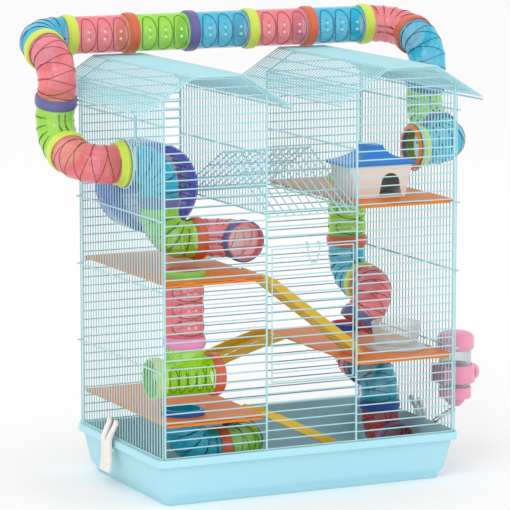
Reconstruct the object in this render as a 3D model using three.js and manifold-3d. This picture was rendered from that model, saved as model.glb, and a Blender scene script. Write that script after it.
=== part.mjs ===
// A two-tower wire cage for hamsters on a moulded tray, with shelves, ladders, a wheel, a hut, a bowl,
// a water bottle and a run of plastic tubes over the roofs. Millimetres, +Z up, front towards -Y.
// The origin is in the middle of the tray's underside.
import * as THREE from "three";
import { mergeVertices } from "three/addons/utils/BufferGeometryUtils.js";
import Module from "manifold-3d";

const wasm = await Module();
wasm.setup();

// ---- Driving dimensions ----
const gap = 0.4; // clearance between pieces that touch

const trayHalfX = 235; // tray, over the rim
const trayHalfY = 150;
const trayHeight = 68.8;
const trayLip = 11.2; // height of the turned-down rim
const trayWall = 3;
const rimInset = 6; // the wall stands this far in from the rim
const shoulderInset = 13; // at the bottom of the wall
const footInset = 21;
const footHeight = 8;
const shoulderHeight = 17;

const wire = 2.4; // wire of the panels
const cageHalfX = trayHalfX - 8; // to the middle of the side walls
const cageHalfY = trayHalfY - 4.5; // to the middle of the front and back panels
const towerInnerX = 69.6; // inner wall of each tower
const rowPitch = 55; // spacing of the level wires of the front and back
const columnPitch = 58; // spacing of the upright wires of the side walls
const jointHeights = [190, 301.5, 399]; // heavier wires that tie the walls together

const roofTop = 595.3; // flat top of a tower roof
const roofEave = 549.4;
const roofFlatHalf = 37;
const roofEaveHalf = 111; // half of a tower roof, over its eaves
const roofFront = -cageHalfY - 17.5;
const roofBack = cageHalfY + 46.5;
const roofPitch = 71; // spacing of the bent wires
const midRidge = 471;
const midEave = 398.5;
const midReach = cageHalfY + 4.5; // from the ridge to each eave

const doorHalfX = towerInnerX - 5.6;
const doorBottom = 164;
const doorTop = 352;

const shelfThick = 3;
const shelfLip = 6;
const shelfEdge = 2; // clearance from a shelf to the wires around it
const upperLeftZ = 313; // top faces of the shelves
const lowerLeftZ = 118.5;
const middleRightZ = 183;
const upperRightZ = 404.5;
const leftShelfX = -towerInnerX - 1.4; // edges that face the middle of the cage
const middleShelfX = towerInnerX - 3.6;
const upperRightShelfX = towerInnerX + 3.4;

const tubeR = 27; // outside of the plastic tubes
const tubeWall = 2;
const ringR = tubeR + 3; // outside of the collars
const ringWide = 16;
const elbowLeg = 48; // reach of an elbow along each of its two directions
const shortLeg = 42; // reach of the elbows under the middle right shelf
const shelfToEntry = 2 * elbowLeg + ringWide + ringR + 9; // the inner chain turns between them
const entryZ = upperLeftZ + shelfToEntry; // where the run passes the side walls
const entryY = -15.2;
const entryRingR = tubeR + 5.5;
const entryInside = 5; // how far an entry ring reaches on each side of the wall wires
const entryOutside = 15;
const riserX = cageHalfX + 62; // middle of the upright stretch on the left
const rightRiserX = cageHalfX + 71;
const riserTilt = THREE.MathUtils.degToRad(14);
const straights = ["pink", "lime", "blue", "pink", "blue"];
const runPitch = (riserX + rightRiserX - 2 * elbowLeg - ringWide) / straights.length; // with its collar

const wheelR = 65;
const wheelWide = 72;
const wheelX = -(cageHalfX + towerInnerX) / 2 - 6.7;
const wheelZ = 418;
const wheelFrontY = cageHalfY - 109.5;

const ladderWide = 60;
const ladderRail = 12;
const ladderThick = 2.5;

const hutX = towerInnerX + 62.4;
const hutY = 79.5 - cageHalfY;
const hutBaseX = 80;
const hutBaseY = 62;
const hutTopX = 100;
const hutTopY = 66;
const hutWallHeight = 46;
const hutWall = 2.4;
const hutRoofHeight = 27;
const hutEave = 6; // overhang of the roof
const hutDoorX = 15; // the doorway is off centre
const hutDoorHalf = 16.5;
const hutDoorHeight = 33;

const bowlX = cageHalfX - 55;
const bowlFromTube = 65; // from the mouth of the drop tubes to the middle of the bowl
const bowlR = 36;
const bowlFootR = 44;
const bowlHeight = 36;

const bottleX = cageHalfX + 30;
const bottleFromWire = -5.5; // the sipper passes the side wall this far from an upright wire
const bottleR = 23;
const capR = 26.5;
const bottleBottom = 124; // where the bottle meets its bottom cap
const bottleTop = 179;
const capHeight = 25;
const holderLow = 130;
const holderHigh = 156;

const clipY = 20;
const clipWide = 34;
const clipAxleZ = 96;
const clipAxleIn = 3; // from the clip's inner face to the middle of its axle

// ---- Finishes ----
const finish = (color, roughness, opacity = 1, metalness = 0) =>
  new THREE.MeshStandardMaterial({ color, roughness, metalness, opacity, transparent: opacity < 1 });
const trayPlastic = finish("#a9d8e4", 0.4);
const coatedWire = finish("#b5e3e8", 0.35);
const shelfPlastic = finish("#ea8a2c", 0.4);
const ladderPlastic = finish("#e8c53a", 0.4);
const whitePlastic = finish("#f4f1ee", 0.45);
const hutPlastic = finish("#efe6e0", 0.5);
const roofPlastic = finish("#1f86d8", 0.4);
const wheelPlastic = finish("#5a5fd0", 0.25, 0.7);
const pinkPlastic = finish("#e79bb5", 0.4);
const clearPlastic = finish("#e8f0f2", 0.1, 0.35);
const steel = finish("#c9c9c6", 0.3, 1, 1);
const tubePlastic = {
  pink: finish("#f58f98", 0.15, 0.6),
  lime: finish("#b4f000", 0.15, 0.6),
  blue: finish("#19c3f0", 0.15, 0.6),
  red: finish("#c8433f", 0.2, 0.7),
};
const ringPlastic = finish("#f0a03c", 0.4);

// ---- Building helpers ----
const cage = new THREE.Group();

function add(name, geometry, material) {
  const mesh = new THREE.Mesh(geometry, material);
  mesh.name = name;
  cage.add(mesh);
}

// A closed three.js geometry as a manifold solid, and back.
function solid(geometry) {
  const bare = geometry.clone();
  bare.deleteAttribute("normal");
  bare.deleteAttribute("uv");
  const merged = mergeVertices(bare, 1e-4);
  return new wasm.Manifold(
    new wasm.Mesh({
      numProp: 3,
      vertProperties: merged.attributes.position.array,
      triVerts: new Uint32Array(merged.index.array),
    }),
  );
}

function geometryOf(body) {
  const made = body.asOriginal().simplify(1e-4).getMesh(); // flat faces that a join split are whole again
  const geometry = new THREE.BufferGeometry();
  geometry.setAttribute("position", new THREE.BufferAttribute(made.vertProperties, 3));
  geometry.setIndex(new THREE.BufferAttribute(made.triVerts, 1));
  return geometry;
}

const joined = (...parts) => geometryOf(parts.map(solid).reduce((sum, part) => sum.add(part)));
const cut = (body, ...tools) =>
  geometryOf(tools.map(solid).reduce((rest, tool) => rest.subtract(tool), solid(body)));

// A box given by its lowest and highest corners.
function box(x0, x1, y0, y1, z0, z1) {
  return new THREE.BoxGeometry(x1 - x0, y1 - y0, z1 - z0).translate(
    (x0 + x1) / 2,
    (y0 + y1) / 2,
    (z0 + z1) / 2,
  );
}

// A closed profile of [radius, height] points turned about Z.
function turned(points, sides) {
  const profile = points.map(([r, h]) => new THREE.Vector2(r, h));
  return new THREE.LatheGeometry(profile, sides).rotateX(Math.PI / 2);
}

const rod = (r, low, high, sides = 20) =>
  new THREE.CylinderGeometry(r, r, high - low, sides).rotateX(Math.PI / 2).translate(0, 0, (low + high) / 2);

// Rings with the same number of points, joined one to the next. A closed loop of rings joins its last ring
// to its first; otherwise the first and last rings are capped.
function skinned(rings, loops = false) {
  const side = rings[0].length;
  const total = rings.length * side;
  const index = [];
  const spans = loops ? rings.length : rings.length - 1;
  for (let k = 0; k < spans; k++)
    for (let i = 0; i < side; i++) {
      const a = k * side + i;
      const b = k * side + ((i + 1) % side);
      index.push(a, b, (b + side) % total, a, (b + side) % total, (a + side) % total);
    }
  const last = total - side;
  for (let i = 1; !loops && i + 1 < side; i++) {
    index.push(0, i + 1, i);
    index.push(last, last + i, last + i + 1);
  }
  const geometry = new THREE.BufferGeometry();
  geometry.setAttribute("position", new THREE.Float32BufferAttribute(rings.flat(2), 3));
  geometry.setIndex(index);
  return geometry;
}

// A square wire between two points of the XY plane, and a lattice of them.
function bar(u0, v0, u1, v1) {
  const length = Math.hypot(u1 - u0, v1 - v0) + wire;
  return new THREE.BoxGeometry(length, wire, wire)
    .rotateZ(Math.atan2(v1 - v0, u1 - u0))
    .translate((u0 + u1) / 2, (v0 + v1) / 2, 0);
}

function lattice(us, vs) {
  const columns = us.map((u) => bar(u, vs[0], u, vs.at(-1)));
  const rows = vs.map((v) => bar(us[0], v, us.at(-1), v));
  return [...columns, ...rows];
}

// Flat work stood up: u along X and v along Z, or u along Y and v along Z.
const facingFront = (geometry, y) => geometry.rotateX(Math.PI / 2).translate(0, y, 0);
const facingSide = (geometry, x) => geometry.rotateX(Math.PI / 2).rotateZ(Math.PI / 2).translate(x, 0, 0);

// Positions from start to end, as near the wanted spacing as an even division allows.
function spread(start, end, spacing) {
  const count = Math.max(1, Math.round((end - start) / spacing));
  return Array.from({ length: count + 1 }, (_, i) => start + ((end - start) * i) / count);
}

// ---- Tray: rounded rectangular rings joined into one open basin ----
function roundedRing(inset, z, radius) {
  const points = [];
  const cornerSteps = 3;
  for (let corner = 0; corner < 4; corner++) {
    const sx = corner === 0 || corner === 3 ? 1 : -1;
    const sy = corner < 2 ? 1 : -1;
    for (let i = 0; i <= cornerSteps; i++) {
      const angle = (corner + i / cornerSteps) * (Math.PI / 2);
      points.push([
        sx * (trayHalfX - inset - radius) + radius * Math.cos(angle),
        sy * (trayHalfY - inset - radius) + radius * Math.sin(angle),
        z,
      ]);
    }
  }
  return points;
}

add(
  "tray",
  skinned([
    roundedRing(footInset, 0, 12),
    roundedRing(footInset - 1, footHeight, 12),
    roundedRing(shoulderInset, shoulderHeight, 14),
    roundedRing(rimInset, trayHeight - trayLip, 12),
    roundedRing(0, trayHeight - trayLip, 12),
    roundedRing(0.6, trayHeight, 12),
    roundedRing(rimInset + trayWall, trayHeight, 10),
    roundedRing(shoulderInset + trayWall, shoulderHeight + trayWall, 12),
    roundedRing(footInset + trayWall, trayWall + 1, 10),
  ]),
  trayPlastic,
);

// ---- Wire panels ----
const cageBottom = trayHeight + gap + wire / 2; // middle of the lowest wires
const towerMiddle = (cageHalfX + towerInnerX) / 2;
const roofSlope = (roofTop - roofEave) / (roofEaveHalf - roofFlatHalf);
const roofUnder = 1.25 * wire + gap; // from the roof's middle surface down to the middle of a wire below it
const roofAt = (fromMiddle) => roofTop - roofSlope * Math.max(0, fromMiddle - roofFlatHalf) - roofUnder;
const frontX = cageHalfX - 1.5 * wire - gap; // the corner posts stand inside the side walls
const wallTop = roofAt(cageHalfX + wire / 2 - towerMiddle);
const innerTop = roofAt(towerMiddle - towerInnerX + wire / 2);
const midSlope = (midRidge - midEave) / midReach;
const middleTop = midRidge - midSlope * (cageHalfY + wire / 2) - roofUnder;

function frontPanel(y, doorway) {
  const low = spread(cageBottom, middleTop, rowPitch);
  const high = spread(middleTop, wallTop - wire, rowPitch);
  const parts = [bar(-towerInnerX, cageBottom, towerInnerX, cageBottom)];
  for (const side of [-1, 1]) {
    const outer = side * frontX;
    const inner = side * towerInnerX;
    const flat = [side * (towerMiddle - roofFlatHalf), side * (towerMiddle + roofFlatHalf)];
    parts.push(bar(outer, cageBottom, outer, wallTop), bar(inner, cageBottom, inner, innerTop));
    for (const z of [...low, ...high.slice(1)]) parts.push(bar(inner, z, outer, z));
    parts.push(
      bar(inner, innerTop, flat[0], roofTop - roofUnder),
      bar(flat[0], roofTop - roofUnder, flat[1], roofTop - roofUnder),
      bar(flat[1], roofTop - roofUnder, outer, wallTop),
    );
  }
  const frame = doorway ? [doorBottom - wire, doorTop + wire] : [];
  const clear = (z) => !doorway || z < doorBottom - 2 * wire || z > doorTop + 2 * wire;
  for (const z of [...low.filter(clear), ...frame]) parts.push(bar(-towerInnerX, z, towerInnerX, z));
  return facingFront(joined(...parts), y);
}
add("wire_front", frontPanel(-cageHalfY, true), coatedWire);
add("wire_back", frontPanel(cageHalfY, false), coatedWire);

const entryHoleR = entryRingR + 1.5;
const columns = spread(-cageHalfY, cageHalfY, columnPitch);
function sideWall(x) {
  const rows = [cageBottom, ...jointHeights, wallTop];
  const sheet = facingSide(joined(...lattice(columns, rows)), x);
  const hoopOuter = rod(entryHoleR + wire, -wire / 2, wire / 2, 16);
  const place = (geometry) => geometry.rotateY(Math.PI / 2).translate(x, entryY, entryZ);
  return cut(joined(sheet, place(hoopOuter)), place(rod(entryHoleR, -2 * wire, 2 * wire, 16)));
}
add("wire_wall_left", sideWall(-cageHalfX), coatedWire);
add("wire_wall_right", sideWall(cageHalfX), coatedWire);

const towerWallBottom = jointHeights[2] + gap;
function towerWall(x) {
  const reach = cageHalfY - wire - gap;
  const rows = spread(towerWallBottom, innerTop, (innerTop - towerWallBottom) / 2);
  return facingSide(joined(...lattice(spread(-reach, reach, columnPitch), rows)), x);
}
add("tower_wall_left", towerWall(-towerInnerX), coatedWire);
add("tower_wall_right", towerWall(towerInnerX), coatedWire);

// ---- Roofs: bent wires side by side, tied by straight ones ----
function towerRoof(middle) {
  const half = [
    [roofFlatHalf, roofTop],
    [roofEaveHalf - wire / 2, roofEave],
  ];
  const bends = [...half.map(([x, z]) => [-x, z]).reverse(), ...half];
  const parts = bends.map(([x, z]) =>
    box(x - wire / 2, x + wire / 2, roofFront, roofBack, z - wire / 2, z + wire / 2),
  );
  for (const y of spread(roofFront + wire / 2, roofBack - wire / 2, roofPitch))
    for (let i = 0; i + 1 < bends.length; i++)
      parts.push(facingFront(bar(...bends[i], ...bends[i + 1]), y));
  return joined(...parts).translate(middle, 0, 0);
}
add("roof_left", towerRoof(-towerMiddle), coatedWire);
add("roof_right", towerRoof(towerMiddle), coatedWire);

function middleRoof() {
  const halfX = towerInnerX - wire - gap;
  const parts = [];
  for (const y of spread(-midReach, midReach, midReach / 2)) {
    const z = midRidge - midSlope * Math.abs(y);
    parts.push(facingFront(bar(-halfX, z, halfX, z), y));
  }
  for (const x of spread(-halfX, halfX, 45)) {
    parts.push(facingSide(bar(-midReach, midEave, 0, midRidge), x));
    parts.push(facingSide(bar(0, midRidge, midReach, midEave), x));
  }
  return joined(...parts);
}
add("roof_middle", middleRoof(), coatedWire);

// ---- Front door on the outside of its doorway, and its latch ----
const doorY = -cageHalfY - wire - gap;
const doorRows = spread(doorBottom + wire / 2, doorTop - wire / 2, rowPitch);
add(
  "front_door",
  facingFront(joined(...lattice([-doorHalfX + wire / 2, doorHalfX - wire / 2], doorRows)), doorY),
  coatedWire,
);

const latchY = doorY - wire - gap;
const latchHalf = 9;
const latchTop = doorTop + 2 * wire + gap;
const latchBottom = doorTop - 22;
const hookHeights = [latchTop - wire / 2, latchTop + wire / 2];
const latchHook = (x) => box(x - wire / 2, x + wire / 2, latchY, wire / 2 - cageHalfY, ...hookHeights);
add(
  "door_latch",
  joined(
    facingFront(joined(...lattice([-latchHalf, latchHalf], [latchBottom, latchTop])), latchY),
    latchHook(-latchHalf),
    latchHook(latchHalf),
  ),
  coatedWire,
);

// ---- Tray clips: forked, hung on a wire, hooked under the rim ----
function trayClip(side) {
  const face = cageHalfX + wire / 2 + gap;
  const lip = trayHeight - trayLip - 1;
  const inner = trayHalfX + 1.5;
  const outer = trayHalfX + 6;
  const outline = [
    [face, clipAxleZ + clipAxleIn / 2],
    [face, clipAxleZ - 8],
    [inner, clipAxleZ - 18],
    [inner, lip],
    [trayHalfX - 3, lip],
    [trayHalfX - 3, lip - 4],
    [inner, lip - 6],
    [inner, 36],
    [inner + 3, 23],
    [outer + 3, 23],
    [outer, 38],
    [outer, clipAxleZ - 16],
    [face + 5, clipAxleZ + clipAxleIn / 2],
  ];
  const shape = new THREE.Shape(outline.map(([x, z]) => new THREE.Vector2(x, z)));
  const body = new THREE.ExtrudeGeometry(shape, { depth: clipWide, bevelEnabled: false })
    .rotateX(Math.PI / 2)
    .translate(0, clipY + clipWide / 2, 0);
  const slot = box(cageHalfX, trayHalfX + 20, clipY - 4, clipY + 4, clipAxleZ - 18, clipAxleZ + 10);
  return cut(body, slot).rotateZ(side < 0 ? Math.PI : 0).translate(0, side < 0 ? 2 * clipY : -2 * clipY, 0);
}
add("tray_clip_left", trayClip(-1), whitePlastic);
add("tray_clip_right", trayClip(1), whitePlastic);

// ---- Shelves: plates with turned-down long edges and a round hole for a tube ----
const shelfOuterX = cageHalfX - wire / 2 - shelfEdge;
const shelfHalfY = cageHalfY - wire / 2 - shelfEdge;
function shelf(x0, x1, top, hole) {
  const body = joined(
    box(x0, x1, -shelfHalfY, shelfHalfY, top - shelfThick, top),
    box(x0, x1, -shelfHalfY, -shelfHalfY + shelfThick, top - shelfLip, top),
    box(x0, x1, shelfHalfY - shelfThick, shelfHalfY, top - shelfLip, top),
  );
  return cut(body, rod(ringR + gap, top - 9, top + 9).translate(hole[0], hole[1], 0));
}

const upperLeftHole = [61 - cageHalfX, 63.5 - cageHalfY];
const lowerLeftHole = [57 - cageHalfX, 59.5 - cageHalfY];
const middleRightHole = [cageHalfX - 41, cageHalfY - 41.5];
const upperRightHole = [cageHalfX - 45, cageHalfY - 38.5];
add("shelf_upper_left", shelf(-shelfOuterX, leftShelfX, upperLeftZ, upperLeftHole), shelfPlastic);
add("shelf_lower_left", shelf(-shelfOuterX, leftShelfX, lowerLeftZ, lowerLeftHole), shelfPlastic);
add("shelf_middle_right", shelf(middleShelfX, shelfOuterX, middleRightZ, middleRightHole), shelfPlastic);
add("shelf_upper_right", shelf(upperRightShelfX, shelfOuterX, upperRightZ, upperRightHole), shelfPlastic);

// ---- Tubes ----
const tubeSides = 8;
const bendSteps = 3;
const point = (x, y, z) => new THREE.Vector3(x, y, z);
const along = (from, way, distance) => from.clone().addScaledVector(way, distance);

// The places where a tube's section changes: at its ends and round its bend, each with its direction.
function stations(from, corner, to) {
  const way = corner.clone().sub(from).normalize();
  const leaving = to.clone().sub(corner).normalize();
  const angle = way.angleTo(leaving);
  if (angle < 0.01) return { across: perpendicular(way), stops: [{ at: from, way }, { at: to, way }] };
  const toSide = leaving.clone().addScaledVector(way, -Math.cos(angle)).normalize();
  const shortest = Math.min(elbowLeg, from.distanceTo(corner), corner.distanceTo(to));
  const bend = (shortest - 7) / Math.tan(angle / 2);
  const start = along(corner, way, -(shortest - 7));
  const round = Array.from({ length: bendSteps + 1 }, (_, i) => {
    const turn = (angle * i) / bendSteps;
    return {
      at: along(along(start, way, bend * Math.sin(turn)), toSide, bend * (1 - Math.cos(turn))),
      way: way.clone().multiplyScalar(Math.cos(turn)).addScaledVector(toSide, Math.sin(turn)),
    };
  });
  const across = way.clone().cross(toSide);
  return { across, stops: [{ at: from, way }, ...round, { at: to, way: leaving }] };
}

function perpendicular(way) {
  const helper = Math.abs(way.z) > 0.9 ? point(1, 0, 0) : point(0, 0, 1);
  return helper.cross(way).normalize();
}

function circleAt({ at, way }, across, radius) {
  const other = way.clone().cross(across);
  return Array.from({ length: tubeSides }, (_, i) => {
    const angle = ((i + 0.5) * 2 * Math.PI) / tubeSides;
    return along(along(at, across, radius * Math.cos(angle)), other, radius * Math.sin(angle)).toArray();
  });
}

// A tube from one point to another round a corner, with a collar at its head, its tail, both or neither.
function tube(name, colour, from, corner, to, head, tail) {
  const { across, stops } = stations(from, corner, to);
  const first = stops[0];
  const last = stops.at(-1);
  const shift = (stop, distance) => ({ at: along(stop.at, stop.way, distance), way: stop.way });
  const outer = [[first, head ? ringR : tubeR]];
  if (head) outer.push([shift(first, head), ringR], [shift(first, head), tubeR]);
  for (const stop of stops.slice(1, -1)) outer.push([stop, tubeR]);
  if (tail) outer.push([shift(last, -tail), tubeR], [shift(last, -tail), ringR]);
  outer.push([last, tail ? ringR : tubeR]);
  const bore = stops.toReversed().map((stop) => [stop, tubeR - tubeWall]);
  const rings = [...outer, ...bore].map(([stop, radius]) => circleAt(stop, across, radius));
  add(name, skinned(rings, true), tubePlastic[colour]);
}

// Lays tubes end to end. Each piece is { name, colour, turn, leg, out, head, tail }: turn is the direction it
// leaves in, leg its reach each way (or its length, if it is straight), out another reach for its far side.
function lay(start, way, pieces) {
  let from = start;
  let going = way;
  for (const { name, colour, turn, leg = elbowLeg, out = leg, head = 0, tail = 0 } of pieces) {
    const corner = along(from, going, head + leg);
    const leaving = turn ?? going;
    const end = along(corner, leaving, (turn ? out : 0) + tail);
    tube(name, colour, from, turn ? corner : along(from, going, 1), along(end, leaving, -gap), head, tail);
    from = end;
    going = leaving;
  }
  return from;
}

const right = point(1, 0, 0);
const toLeft = point(-1, 0, 0);
const toFront = point(0, -1, 0);
const toBack = point(0, 1, 0);
const down = point(0, 0, -1);
const level = point(0, -Math.cos(riserTilt), -Math.sin(riserTilt));
const steep = point(0, Math.sin(riserTilt), -Math.cos(riserTilt));

// The outer run, worked out backwards from the entry in the left wall.
const collarToCorner = 2 * elbowLeg + ringWide; // from one corner of the run to the next
const runY = entryY - collarToCorner * (2 * level.y + steep.y);
const runZ = entryZ - collarToCorner * (2 * level.z + steep.z);
const runStart = point(-riserX + elbowLeg, runY, runZ);
const entryReach = cageHalfX + entryOutside;

const runEnd = lay(
  runStart,
  right,
  straights.map((colour, i) => ({
    name: `top_tube_${i + 1}`,
    colour,
    leg: runPitch - ringWide,
    head: ringWide,
    tail: i === straights.length - 1 ? ringWide : 0,
  })),
);

function descent(side, start, colours, cornerX) {
  const elbow = (i, turn, rest) => ({ name: `${side}_elbow_${i + 1}`, colour: colours[i], turn, ...rest });
  const away = side === "left" ? toLeft : right;
  const back = side === "left" ? right : toLeft;
  lay(along(start, away, gap), away, [
    elbow(0, level, { leg: elbowLeg - gap, out: elbowLeg }),
    elbow(1, steep, { head: ringWide }),
    elbow(2, level, { head: ringWide }),
    elbow(3, back, { head: ringWide, out: cornerX - entryReach }),
  ]);
}
descent("left", runStart, ["blue", "pink", "lime", "pink"], riserX);
descent("right", runEnd, ["pink", "blue", "lime", "blue"], runEnd.x + elbowLeg);

// Double rings that hold the run in the side walls.
function entryRing(side) {
  const bore = tubeR - tubeWall;
  const points = [
    [bore, -entryInside],
    [entryRingR, -entryInside],
    [entryRingR, entryOutside - gap],
    [bore, entryOutside - gap],
    [bore, -entryInside],
  ];
  return turned(points, 16)
    .rotateY((side * Math.PI) / 2)
    .translate(side * cageHalfX, entryY, entryZ);
}
add("entry_ring_left", entryRing(-1), ringPlastic);
add("entry_ring_right", entryRing(1), ringPlastic);

// Inner chain from the left wall: down in front of the wheel, round to a mouth over the upper left shelf.
lay(point(-cageHalfX + entryInside + gap, entryY, entryZ), right, [
  { name: "wheel_tube_1", colour: "blue", turn: down },
  { name: "wheel_tube_2", colour: "lime", turn: right, head: ringWide },
  { name: "wheel_tube_3", colour: "pink", turn: toFront, leg: shortLeg, head: ringWide, tail: ringWide },
]);

// From the upper left shelf down to a tee above the lower left shelf.
const collarTop = 8; // how far a collar stands above its shelf
const drop = (hole, top) => point(hole[0], hole[1], top + collarTop);
const teeTop = upperLeftZ - 85;
const teeReach = 52;
lay(drop(upperLeftHole, upperLeftZ), down, [
  { name: "shelf_tube", colour: "pink", leg: upperLeftZ + collarTop - ringWide - teeTop, head: ringWide },
]);

function tee() {
  const bore = tubeR - tubeWall;
  const axisZ = teeTop - ringWide - shortLeg;
  const across = (r, low, high) => rod(r, low, high, 16).rotateY(Math.PI / 2).translate(0, 0, axisZ);
  const outer = joined(
    across(tubeR, -teeReach, teeReach),
    across(ringR, teeReach - ringWide, teeReach),
    across(ringR, -teeReach, -teeReach + ringWide),
    rod(tubeR, axisZ, teeTop - 1, 16),
    rod(ringR, teeTop - ringWide, teeTop, 16),
  );
  return cut(outer, across(bore, -teeReach - 1, teeReach + 1), rod(bore, axisZ, teeTop + 1, 16));
}
add("tee_tube", tee().translate(upperLeftHole[0], upperLeftHole[1], 0), tubePlastic.lime);

// From the lower left shelf into the tray, and round to a mouth that faces the back.
lay(drop(lowerLeftHole, lowerLeftZ), down, [
  { name: "tray_tube_1", colour: "blue", turn: right, leg: 44, out: elbowLeg, head: ringWide },
  { name: "tray_tube_2", colour: "lime", turn: toBack, leg: 44, head: ringWide, tail: ringWide - 2 },
]);

// From the upper right shelf down to a mouth over the middle right shelf.
const aslant = point(-0.63, 0, -0.777).normalize();
const mouthDrop = (1 - aslant.z) * (elbowLeg + ringWide); // height that the two bends take up
const mouthAbove = 41.8; // from the middle right shelf to the middle of the chain's end
const dropLeg = upperRightZ + collarTop - middleRightZ - mouthAbove - mouthDrop;
lay(drop(upperRightHole, upperRightZ), down, [
  { name: "drop_tube_1", colour: "lime", leg: dropLeg, head: ringWide },
  { name: "drop_tube_2", colour: "blue", turn: toFront, head: ringWide },
  { name: "drop_tube_3", colour: "pink", turn: aslant, head: ringWide, tail: ringWide },
]);

// From the middle right shelf down to a mouth on the tray floor.
const narrow = ringWide - 2;
lay(drop(middleRightHole, middleRightZ), down, [
  { name: "foot_tube_1", colour: "pink", turn: toFront, leg: shortLeg, head: narrow },
  { name: "foot_tube_2", colour: "blue", turn: down, leg: shortLeg, head: narrow },
  { name: "foot_tube_3", colour: "red", turn: toFront, leg: shortLeg, head: narrow, tail: narrow },
]);

// ---- Ladders: a plank with two side rails, hooked to a shelf edge at the top ----
function ladder(name, high, low, y) {
  const run = low[0] - high[0];
  const length = Math.hypot(run, low[1] - high[1]);
  const rail = (v) => box(0, length, v, v + ladderThick, 0, ladderRail);
  const plank = joined(
    box(0, length, -ladderWide / 2, ladderWide / 2, 0, ladderThick),
    rail(-ladderWide / 2),
    rail(ladderWide / 2 - ladderThick),
  );
  plank.rotateY(Math.atan2(high[1] - low[1], Math.abs(run)));
  if (run < 0) plank.rotateZ(Math.PI);
  add(name, plank.translate(high[0], y, high[1]), ladderPlastic);
}
const above = 1.5; // height of a ladder's foot over what it stands on
const onShelf = [middleShelfX + 26, middleRightZ + above];
const onLowerShelf = [leftShelfX - 39, lowerLeftZ + above];
const onFloor = [middleShelfX + 84, trayWall + 1 + above];
ladder("ladder_upper", [leftShelfX + 2, upperLeftZ - 2], onShelf, 58.5 - cageHalfY);
ladder("ladder_bridge", [middleShelfX - 2, middleRightZ], onLowerShelf, cageHalfY - 50.5);
ladder("ladder_floor", [leftShelfX + 2, lowerLeftZ - 2], onFloor, 52.5 - cageHalfY);

// ---- Exercise wheel on a bracket at the back ----
const wheelBackY = wheelFrontY + wheelWide;
const axleR = 5;
const wheelWall = 2;
const wheelLip = 8;
add(
  "exercise_wheel",
  turned(
    [
      [axleR + gap, 0],
      [wheelR, 0],
      [wheelR, wheelWide],
      [wheelR - wheelLip, wheelWide],
      [wheelR - wheelLip, wheelWide - wheelWall],
      [wheelR - wheelWall, wheelWide - wheelWall],
      [wheelR - wheelWall, wheelWall],
      [axleR + gap, wheelWall],
      [axleR + gap, 0],
    ],
    20,
  )
    .rotateX(Math.PI / 2)
    .translate(wheelX, wheelBackY, wheelZ),
  wheelPlastic,
);
const bracketY = cageHalfY - wire / 2 - gap;
const rodAlongY = (r, y0, y1) => rod(r, -y1, -y0, 16).rotateX(Math.PI / 2);
add(
  "wheel_bracket",
  joined(
    rodAlongY(axleR, wheelBackY - 6, bracketY),
    rodAlongY(9, wheelBackY + gap, bracketY),
    box(-20, 20, bracketY - 3, bracketY, -20, 20),
  ).translate(wheelX, 0, wheelZ),
  wheelPlastic,
);

// ---- Hut ----
const hutFloor = upperRightZ + gap;
const hutTop = hutFloor + hutWallHeight;
function hutRing(sizeX, sizeY, z) {
  return [
    [sizeX / 2, sizeY / 2, z],
    [-sizeX / 2, sizeY / 2, z],
    [-sizeX / 2, -sizeY / 2, z],
    [sizeX / 2, -sizeY / 2, z],
  ];
}
function hutBody() {
  const t = 2 * hutWall;
  const outer = skinned([hutRing(hutBaseX, hutBaseY, hutFloor), hutRing(hutTopX, hutTopY, hutTop)]);
  const hollow = skinned([
    hutRing(hutBaseX - t, hutBaseY - t, hutFloor + hutWall),
    hutRing(hutTopX - t + 0.5, hutTopY - t, hutTop + 1),
  ]);
  const arch = new THREE.Shape();
  const spring = hutDoorHeight - hutDoorHalf;
  arch.moveTo(-hutDoorHalf, 0);
  arch.lineTo(hutDoorHalf, 0);
  arch.lineTo(hutDoorHalf, spring);
  arch.absarc(0, spring, hutDoorHalf, 0, Math.PI);
  const opening = new THREE.ExtrudeGeometry(arch, { depth: 30, bevelEnabled: false, curveSegments: 8 })
    .rotateX(Math.PI / 2)
    .translate(hutDoorX, -hutBaseY / 2 + 15, hutFloor + hutWall);
  return cut(outer, hollow, opening).translate(hutX, hutY, 0);
}
add("hut_body", hutBody(), hutPlastic);

const eaveX = hutTopX + 2 * hutEave;
const eaveY = hutTopY + hutEave;
const eaveThick = 4;
const roofRise = (share) => hutTop + gap + eaveThick + (hutRoofHeight - eaveThick) * share;
add(
  "hut_roof",
  skinned([
    hutRing(eaveX, eaveY, hutTop + gap),
    hutRing(eaveX, eaveY, roofRise(0)),
    hutRing(eaveX * 0.66, eaveY * 0.8, roofRise(0.28)),
    hutRing(eaveX * 0.36, eaveY * 0.63, roofRise(0.66)),
    hutRing(eaveX * 0.2, eaveY * 0.54, roofRise(1)),
  ]).translate(hutX, hutY, 0),
  roofPlastic,
);

// ---- Food bowl ----
const bowlY = upperRightHole[1] - 2 * elbowLeg - ringWide - bowlFromTube;
add(
  "food_bowl",
  turned(
    [
      [0, 0],
      [bowlFootR, 0],
      [bowlFootR, 2.5],
      [bowlR - 5, 6],
      [bowlR, bowlHeight],
      [bowlR - 2, bowlHeight],
      [bowlR - 7, 8],
      [0, 8],
    ],
    20,
  ).translate(bowlX, bowlY, middleRightZ + gap),
  clearPlastic,
);

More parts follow.
